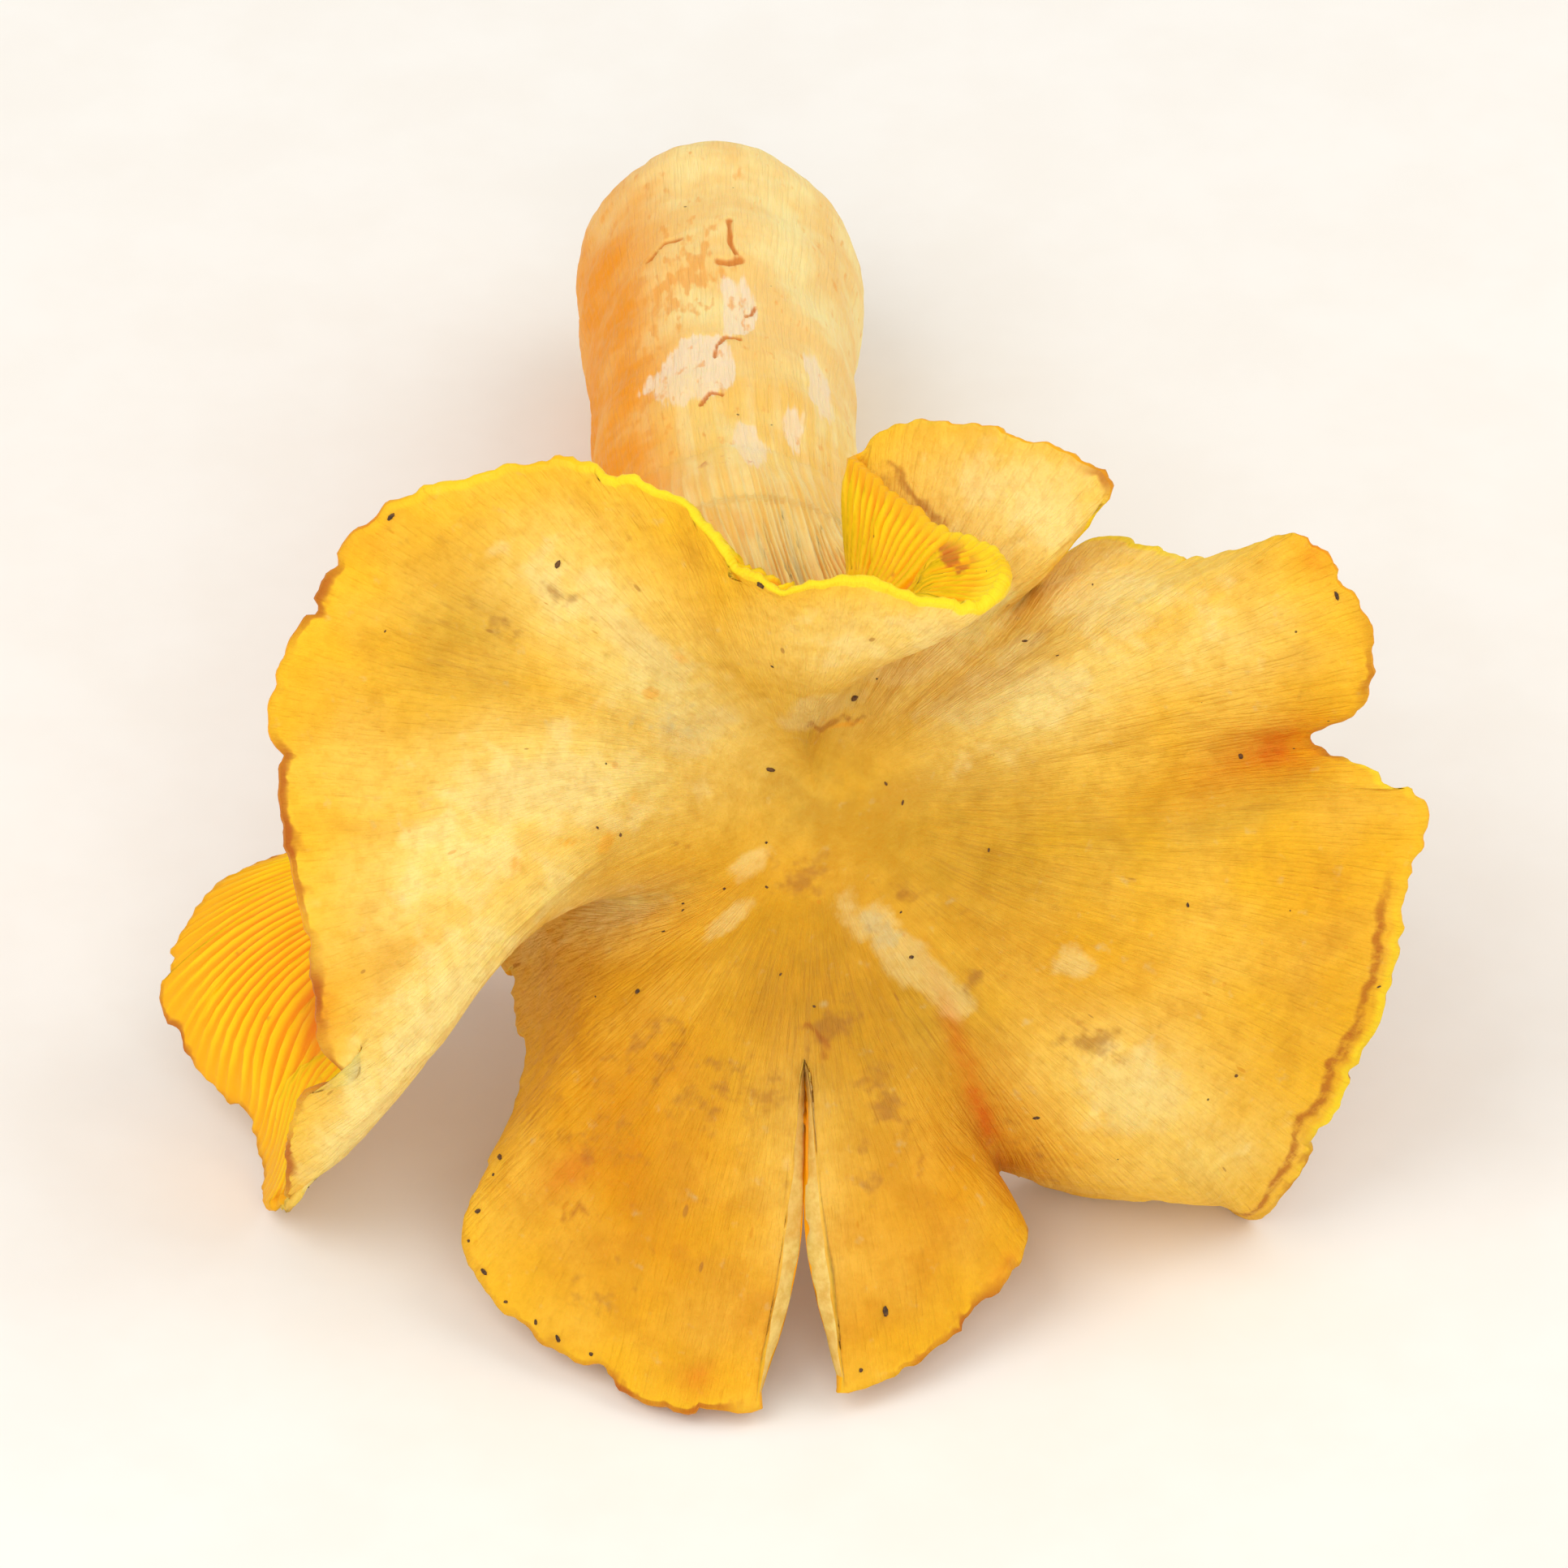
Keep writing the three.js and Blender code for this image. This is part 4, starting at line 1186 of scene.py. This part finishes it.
def makeCapSkin():
    material, shader = newMaterial("capSkin")
    place, fibre, reach, browned, pale, olive, deep, bruise, glowingRim = reading(
        "facePlace", "fibrePlace", "reach", "browned", "pale", "olive", "deep", "bruise", "glowingRim")
    strands, thread = fibresAt(fibre, 1.3, 0.12), fibresAt(fibre, 0.6, 0.07)
    cloud, stains = speckled(place, 7.0, 2.0, 0.55), speckled(place, 2.6, 4.0, 0.62)
    mottle, grain = speckled(place, 0.8, 3.0, 0.62), speckled(place, 0.28, 2.0, 0.6)
    outer = eased(reach, 0.1, 0.42)

    # broad tones
    coats, lay = startCoats(skinLook, (eased(cloud, 0.35, 0.68), "golden", "apricot"))
    deepShare = times(deep, eased(cloud, 0.2, 0.7, 1.0, 0.7), clamp=True)
    lay(deepShare, "deepOrange")
    lay(times(deepShare, eased(stains, 0.4, 0.68, 0.0, 0.75)), "deepStain")
    lay(times(olive, eased(stains, 0.3, 0.7, 0.5, 1.0), clamp=True), "olive")
    darkShare = times(eased(olive, 0.1, 0.9), eased(reach, 0.12, 0.34))
    lay(times(darkShare, eased(strands["Fine"], 0.5, 0.95, 0.0, 0.3)), "bruise")
    lay(times(outer, eased(thread["Fine"], 0.2, 1.0, 0.0, 0.13)), "streak")
    lay(times(outer, eased(strands["Streaks"], 0.3, 1.0, 0.0, 0.25)), "stain")
    lay(eased(stains, 0.5, 0.75, 0.0, 0.45), "stain")

    # pale scuffs and bare ovals; some pale spots are painted light that lifts valleys lying in
    # shade
    lay(times(pale, eased(stains, 0.3, 0.65, 1.0, 0.65), clamp=True), "scuffAndLitWash")
    scuff = patchesAt(place, 2.4, pale, 0.85, 0.1)
    lay(times(scuff, 0.5), "cream")
    lay(eased(shaken(reading("ovals"), stains, 1.3), 0.36, 0.72, 0.0, 0.6), "oval")
    lay(times(patchesAt(place, 1.0, reading("cores"), 0.76, 0.14), 0.45), "core")

    # bruises, flushes, flecks and dashes
    lay(times(patchesAt(place, 1.1, bruise, 0.8, 0.17), 0.62), "bruise")
    lay(times(reading("flushed"), eased(stains, 0.3, 0.62, 0.3, 0.9)), "flush")
    lay(eased(reading("flecks"), 0.45, 0.85, 0.0, 0.5), "fleck")
    lay(times(specksAt(place, 2.3, 0.12, 0.2), 0.3), "rust")
    dashes = specksAt(scaled(fibre, 1.0, 1.0, 0.3), 1.3, 0.12, 0.3)
    lay(times(dashes, eased(reach, 0.15, 0.35, 0.0, 0.6)), "bruise")
    fine = specksAt(scaled(fibre, 1.0, 1.0, 0.22), 0.7, 0.13, 0.35)
    lay(times(fine, eased(reach, 0.2, 0.45, 0.0, 0.45)), "deepStain")
    lay(eased(mottle, 0.42, 0.7, 0.0, 0.22), "streak")
    lay(eased(grain, 0.5, 0.75, 0.0, 0.14), "stain")

    # the margin, with the line where it rolls back
    edge = useGroup(margin, Place=place, Reach=reach, Width=0.026)
    lay(times(edge["Near"], 0.3), "nearEdge")
    # painted glow: the very rim is made brighter yellow where it is lit through, and browned less
    # there
    lay(times(edge["Rim"], eased(glowingRim, 0.1, 0.8, 0.1, 0.9)), "rimGlow")
    bandShare = calc("SUBTRACT", browned, times(glowingRim, 0.8), clamp=True)
    lay(times(edge["Band"], eased(bandShare, 0.1, 0.8, 0.1, 1.0)), "margin")
    wavering = shaken(reach, stains, 0.03)
    line = times(eased(wavering, 0.957, 0.967), eased(wavering, 0.972, 0.984, 1.0, 0.0))
    line = times(line, eased(reading("lined"), 0.15, 0.6, 0.0, 0.8))
    lay(times(line, eased(mottle, 0.35, 0.55, 0.45, 1.0)), "margin")
    lay(eased(shaken(reading("cracks"), mottle, 0.6), 0.18, 0.85, 0.0, 0.6), "crack")
    lay(times(specksAt(place, 2.4, 0.045, 0.25), 0.85), "speck")

    rough = calc("MULTIPLY_ADD", scuff, 0.1, eased(mottle, 0.3, 0.7, 0.55, 0.7))
    height = calc("MULTIPLY_ADD", mottle, 0.9, times(outer, times(thread["Fine"], 0.4)))
    setFlesh(shader, coats[-1], rough, height, skinFinish)
    return material


gillFinish = dict(bump=(0.4, 0.0001), depth=0.22, gloss=0.18)
gillLook = dict(
    crest="FFC806", valley="F49800", inner="F6A606", stemCream="FBDDA0", bruise="C04A28",
    margin="B46018", edgeYellowAndGlow="FFDE20", speck="3B2A1A", flush="D8620E",
)


def makeGillFlesh():
    material, shader = newMaterial("gillFlesh")
    place, fibre, reach, ridge, glowingRim = reading(
        "facePlace", "fibrePlace", "reach", "ridge", "glowingRim")
    cloud, grain = speckled(place, 4.0, 2.0, 0.6), speckled(place, 0.5, 2.0, 0.6)
    coats, lay = startCoats(gillLook, (eased(ridge, 0.05, 0.75), "valley", "crest"))
    lay(times(eased(reach, 0.0, 0.6, 0.5, 0.0), eased(cloud, 0.3, 0.7)), "inner")
    # the stem's colour, with its painted orange glow on the left side, where the gills run down
    # onto it
    pale = stemTint(place, fibre, reading("glowSide"))
    pale = tinted(eased(ridge, 0.0, 0.6, 0.0, 0.3), pale, colour(gillLook["stemCream"]))
    nearStem = eased(reach, 0.1, 0.46, 1.0, 0.0)
    lay(calc("ADD", eased(reading("downStem"), 0.0, 0.6), nearStem, clamp=True), pale)
    lay(times(patchesAt(place, 1.2, reading("bruise"), 0.76, 0.1), 0.8), "bruise")
    edge = useGroup(margin, Place=place, Reach=reach, Width=0.012)
    lay(times(edge["Near"], 0.2), "edgeYellowAndGlow")
    # painted glow on the gill side of the rim, where it is lit through
    lay(times(eased(reach, 0.93, 0.99), eased(glowingRim, 0.1, 0.7, 0.1, 0.9)), "edgeYellowAndGlow")
    lay(times(reading("flushed"), 0.8), "flush")
    lay(times(edge["Band"], eased(reading("browned"), 0.1, 0.8, 0.05, 0.9)), "margin")
    lay(times(specksAt(place, 3.0, 0.05, 0.2), 0.8), "speck")
    height = calc("MULTIPLY_ADD", grain, 0.4, fibresAt(fibre, 0.45, 0.08)["Fine"])
    setFlesh(shader, coats[-1], eased(grain, 0.3, 0.7, 0.45, 0.6), height, gillFinish)
    return material


tornFinish = dict(bump=(0.5, 0.00015), depth=0.3, gloss=0.18)
tornLook = dict(flesh="EFD07A", shade="DDB458", thread="D8942A")


def makeTornFlesh():
    material, shader = newMaterial("tornFlesh")
    place, fibre = reading("facePlace", "fibrePlace")
    thread = fibresAt(fibre, 0.6, 0.15)["Fine"]
    lumps = speckled(place, 0.8, 4.0, 0.65)
    coats, lay = startCoats(tornLook, (eased(lumps, 0.3, 0.7), "shade", "flesh"))
    lay(times(thread, 0.25), "thread")
    rough, height = eased(lumps, 0.3, 0.7, 0.6, 0.75), calc("ADD", thread, lumps)
    setFlesh(shader, coats[-1], rough, height, tornFinish)
    return material


stemFinish = dict(bump=(0.5, 0.00018), depth=0.25, gloss=0.18)


def makeStemSkin():
    material, shader = newMaterial("stemSkin")
    place, fibre, left = reading("facePlace", "fibrePlace", "glowSide")
    strands = fibresAt(fibre, 0.9, 0.07)
    grain = speckled(place, 0.6, 2.0, 0.6)
    coats, lay = startCoats(stemLook, stemTint(place, fibre, left))
    # the orange flecks favour the side with the painted glow, as well as the freckled skin
    favour = calc("MULTIPLY_ADD", left, 0.15, times(reading("freckled"), 0.4))
    lay(times(patchesAt(scaled(fibre, 1.0, 1.0, 0.5), 0.75, favour, 0.68, 0.07), 0.6), "fleck")
    lay(times(specksAt(scaled(fibre, 1.0, 1.0, 0.3), 1.1, 0.12, 0.3), 0.4), "fleck")
    lay(eased(reading("scar"), 0.35, 0.8, 0.0, 0.85), "scar")
    lay(times(specksAt(place, 2.6, 0.055, 0.3), 0.8), "speck")
    height = calc("MULTIPLY_ADD", grain, 0.5, strands["Fine"])
    setFlesh(shader, coats[-1], eased(grain, 0.3, 0.7, 0.5, 0.68), height, stemFinish)
    return material


# A dry finish of two shades, for the soil and the floor.
def makeDry(name, look, size, spread):
    material, shader = newMaterial(name)
    place = scaled(put("TexCoord", {}).outputs["Object"], 1000.0, 1000.0, 1000.0)
    lumps = speckled(place, size, 3.0, 0.6)
    base = tinted(eased(lumps, *spread), colour(look["low"]), colour(look["high"]))
    join(base, shader["Base Color"])
    return material, shader, lumps


crumbLook = dict(low="35220F", high="6E4A24")
floorLook = dict(low="F2EDE5", high="F4F0E9", half=3)  # half its side in metres


def makeSoil():
    material, shader, lumps = makeDry("soil", crumbLook, 0.25, (0.35, 0.65))
    join(eased(lumps, 0.3, 0.7, 0.7, 0.95), shader["Roughness"])
    setBump(shader, lumps, 0.5, 0.0001)
    return material


def makePaper():
    material, shader, _ = makeDry("palePaper", floorLook, 9.0, (0.3, 0.7))
    shader["Roughness"].default_value = 0.9
    return material


# The pieces are made in the cap's frame, tipped up, then set down in the node's box.
capPoints, capFaces, capValues, capVectors, capKinds, crumbBase = capPiece()
stemPoints, stemFaces, stemValues, stemVectors = stemPiece()
crumbPoints, crumbFaces = crumbPiece(*crumbBase)
capPoints, stemPoints, crumbPoints = (turnedUp(p) for p in (capPoints, stemPoints, crumbPoints))
ownLow = np.minimum(capPoints.min(0), stemPoints.min(0))
ownHigh = np.maximum(capPoints.max(0), stemPoints.max(0))
nodeMiddle = np.array(nodeLow + nodeHigh) * 500  # half the sum, in millimetres
centre = (ownLow + ownHigh) / 2
shift = np.array([nodeMiddle[0] - centre[0], nodeMiddle[1] - centre[1],
                  nodeLow[2] * 1000 - ownLow[2]])
cap = meshObject("cap", capPoints + shift, capFaces, capValues, capVectors,
                 [makeCapSkin(), makeGillFlesh(), makeTornFlesh()], capKinds)
stem = meshObject("stem", stemPoints + shift, stemFaces, stemValues, stemVectors,
                  [makeStemSkin()], np.zeros(len(stemFaces)))
crumbs = meshObject("soil_crumbs", crumbPoints + shift, crumbFaces, {}, {},
                    [makeSoil()], np.zeros(len(crumbFaces)))
for piece in (cap, stem, crumbs):
    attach(piece, "root")
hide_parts("chanterelle")
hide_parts("chanterelle")
print("pieces placed")

scene = bpy.context.scene
floorMesh = bpy.data.meshes.new("floor")
half = floorLook["half"]
corners = [(-half, -half, 0), (half, -half, 0), (half, half, 0), (-half, half, 0)]
floorMesh.from_pydata(corners, [], [(0, 1, 2, 3)])
floor = bpy.data.objects.new("floor", floorMesh)
scene.collection.objects.link(floor)
floor.data.materials.append(makePaper())

# Places and sizes in metres, powers in watts.
lightLook = dict(
    room=0.70, roomTint=(1, 0.99, 0.97),
    key=dict(place=(-0.45, -0.3, 0.72), size=0.7, power=2.7),
    fill=dict(place=(0.05, -0.85, 0.6), size=0.8, power=3.2),
    side=dict(place=(0.55, 0.05, 0.6), size=0.7, power=1.8),
    exposure=-0.12,
)


def softLight(name, place, size, power):
    light = bpy.data.lights.new(name, "AREA")
    light.shape, light.size, light.energy = "DISK", size, power
    made = bpy.data.objects.new(name, light)
    made.location = place
    made.rotation_euler = (Vector((0, 0, 0.02)) - Vector(place)).to_track_quat("-Z", "Y").to_euler()
    scene.collection.objects.link(made)


world = bpy.data.worlds.new("softRoom")
world.use_nodes = True
background = world.node_tree.nodes["Background"].inputs
background["Color"].default_value = (*lightLook["roomTint"], 1)
background["Strength"].default_value = lightLook["room"]
scene.world = world
for name in ("key", "fill", "side"):
    softLight(name, **lightLook[name])
scene.view_settings.view_transform = "Standard"
scene.view_settings.exposure = lightLook["exposure"]

# In millimetres, looking straight at the cap's face.
view = dict(distance=800, seenWidth=89, aimAcross=-1.8, aimUp=0.9)
camera = bpy.data.cameras.new("camera")
camera.sensor_width = 36
camera.lens = 36 * view["distance"] / view["seenWidth"]
camera.clip_start, camera.clip_end = 0.05, 10
cameraObject = bpy.data.objects.new("camera", camera)
eye, aim = (Vector((turnedUp(np.array([view["aimAcross"], view["aimUp"], away])) + shift) / 1000)
            for away in (view["distance"], 0))
cameraObject.location = eye
cameraObject.rotation_euler = (aim - eye).to_track_quat("-Z", "Y").to_euler()
scene.collection.objects.link(cameraObject)
scene.camera = cameraObject
print("floor, light and camera set")
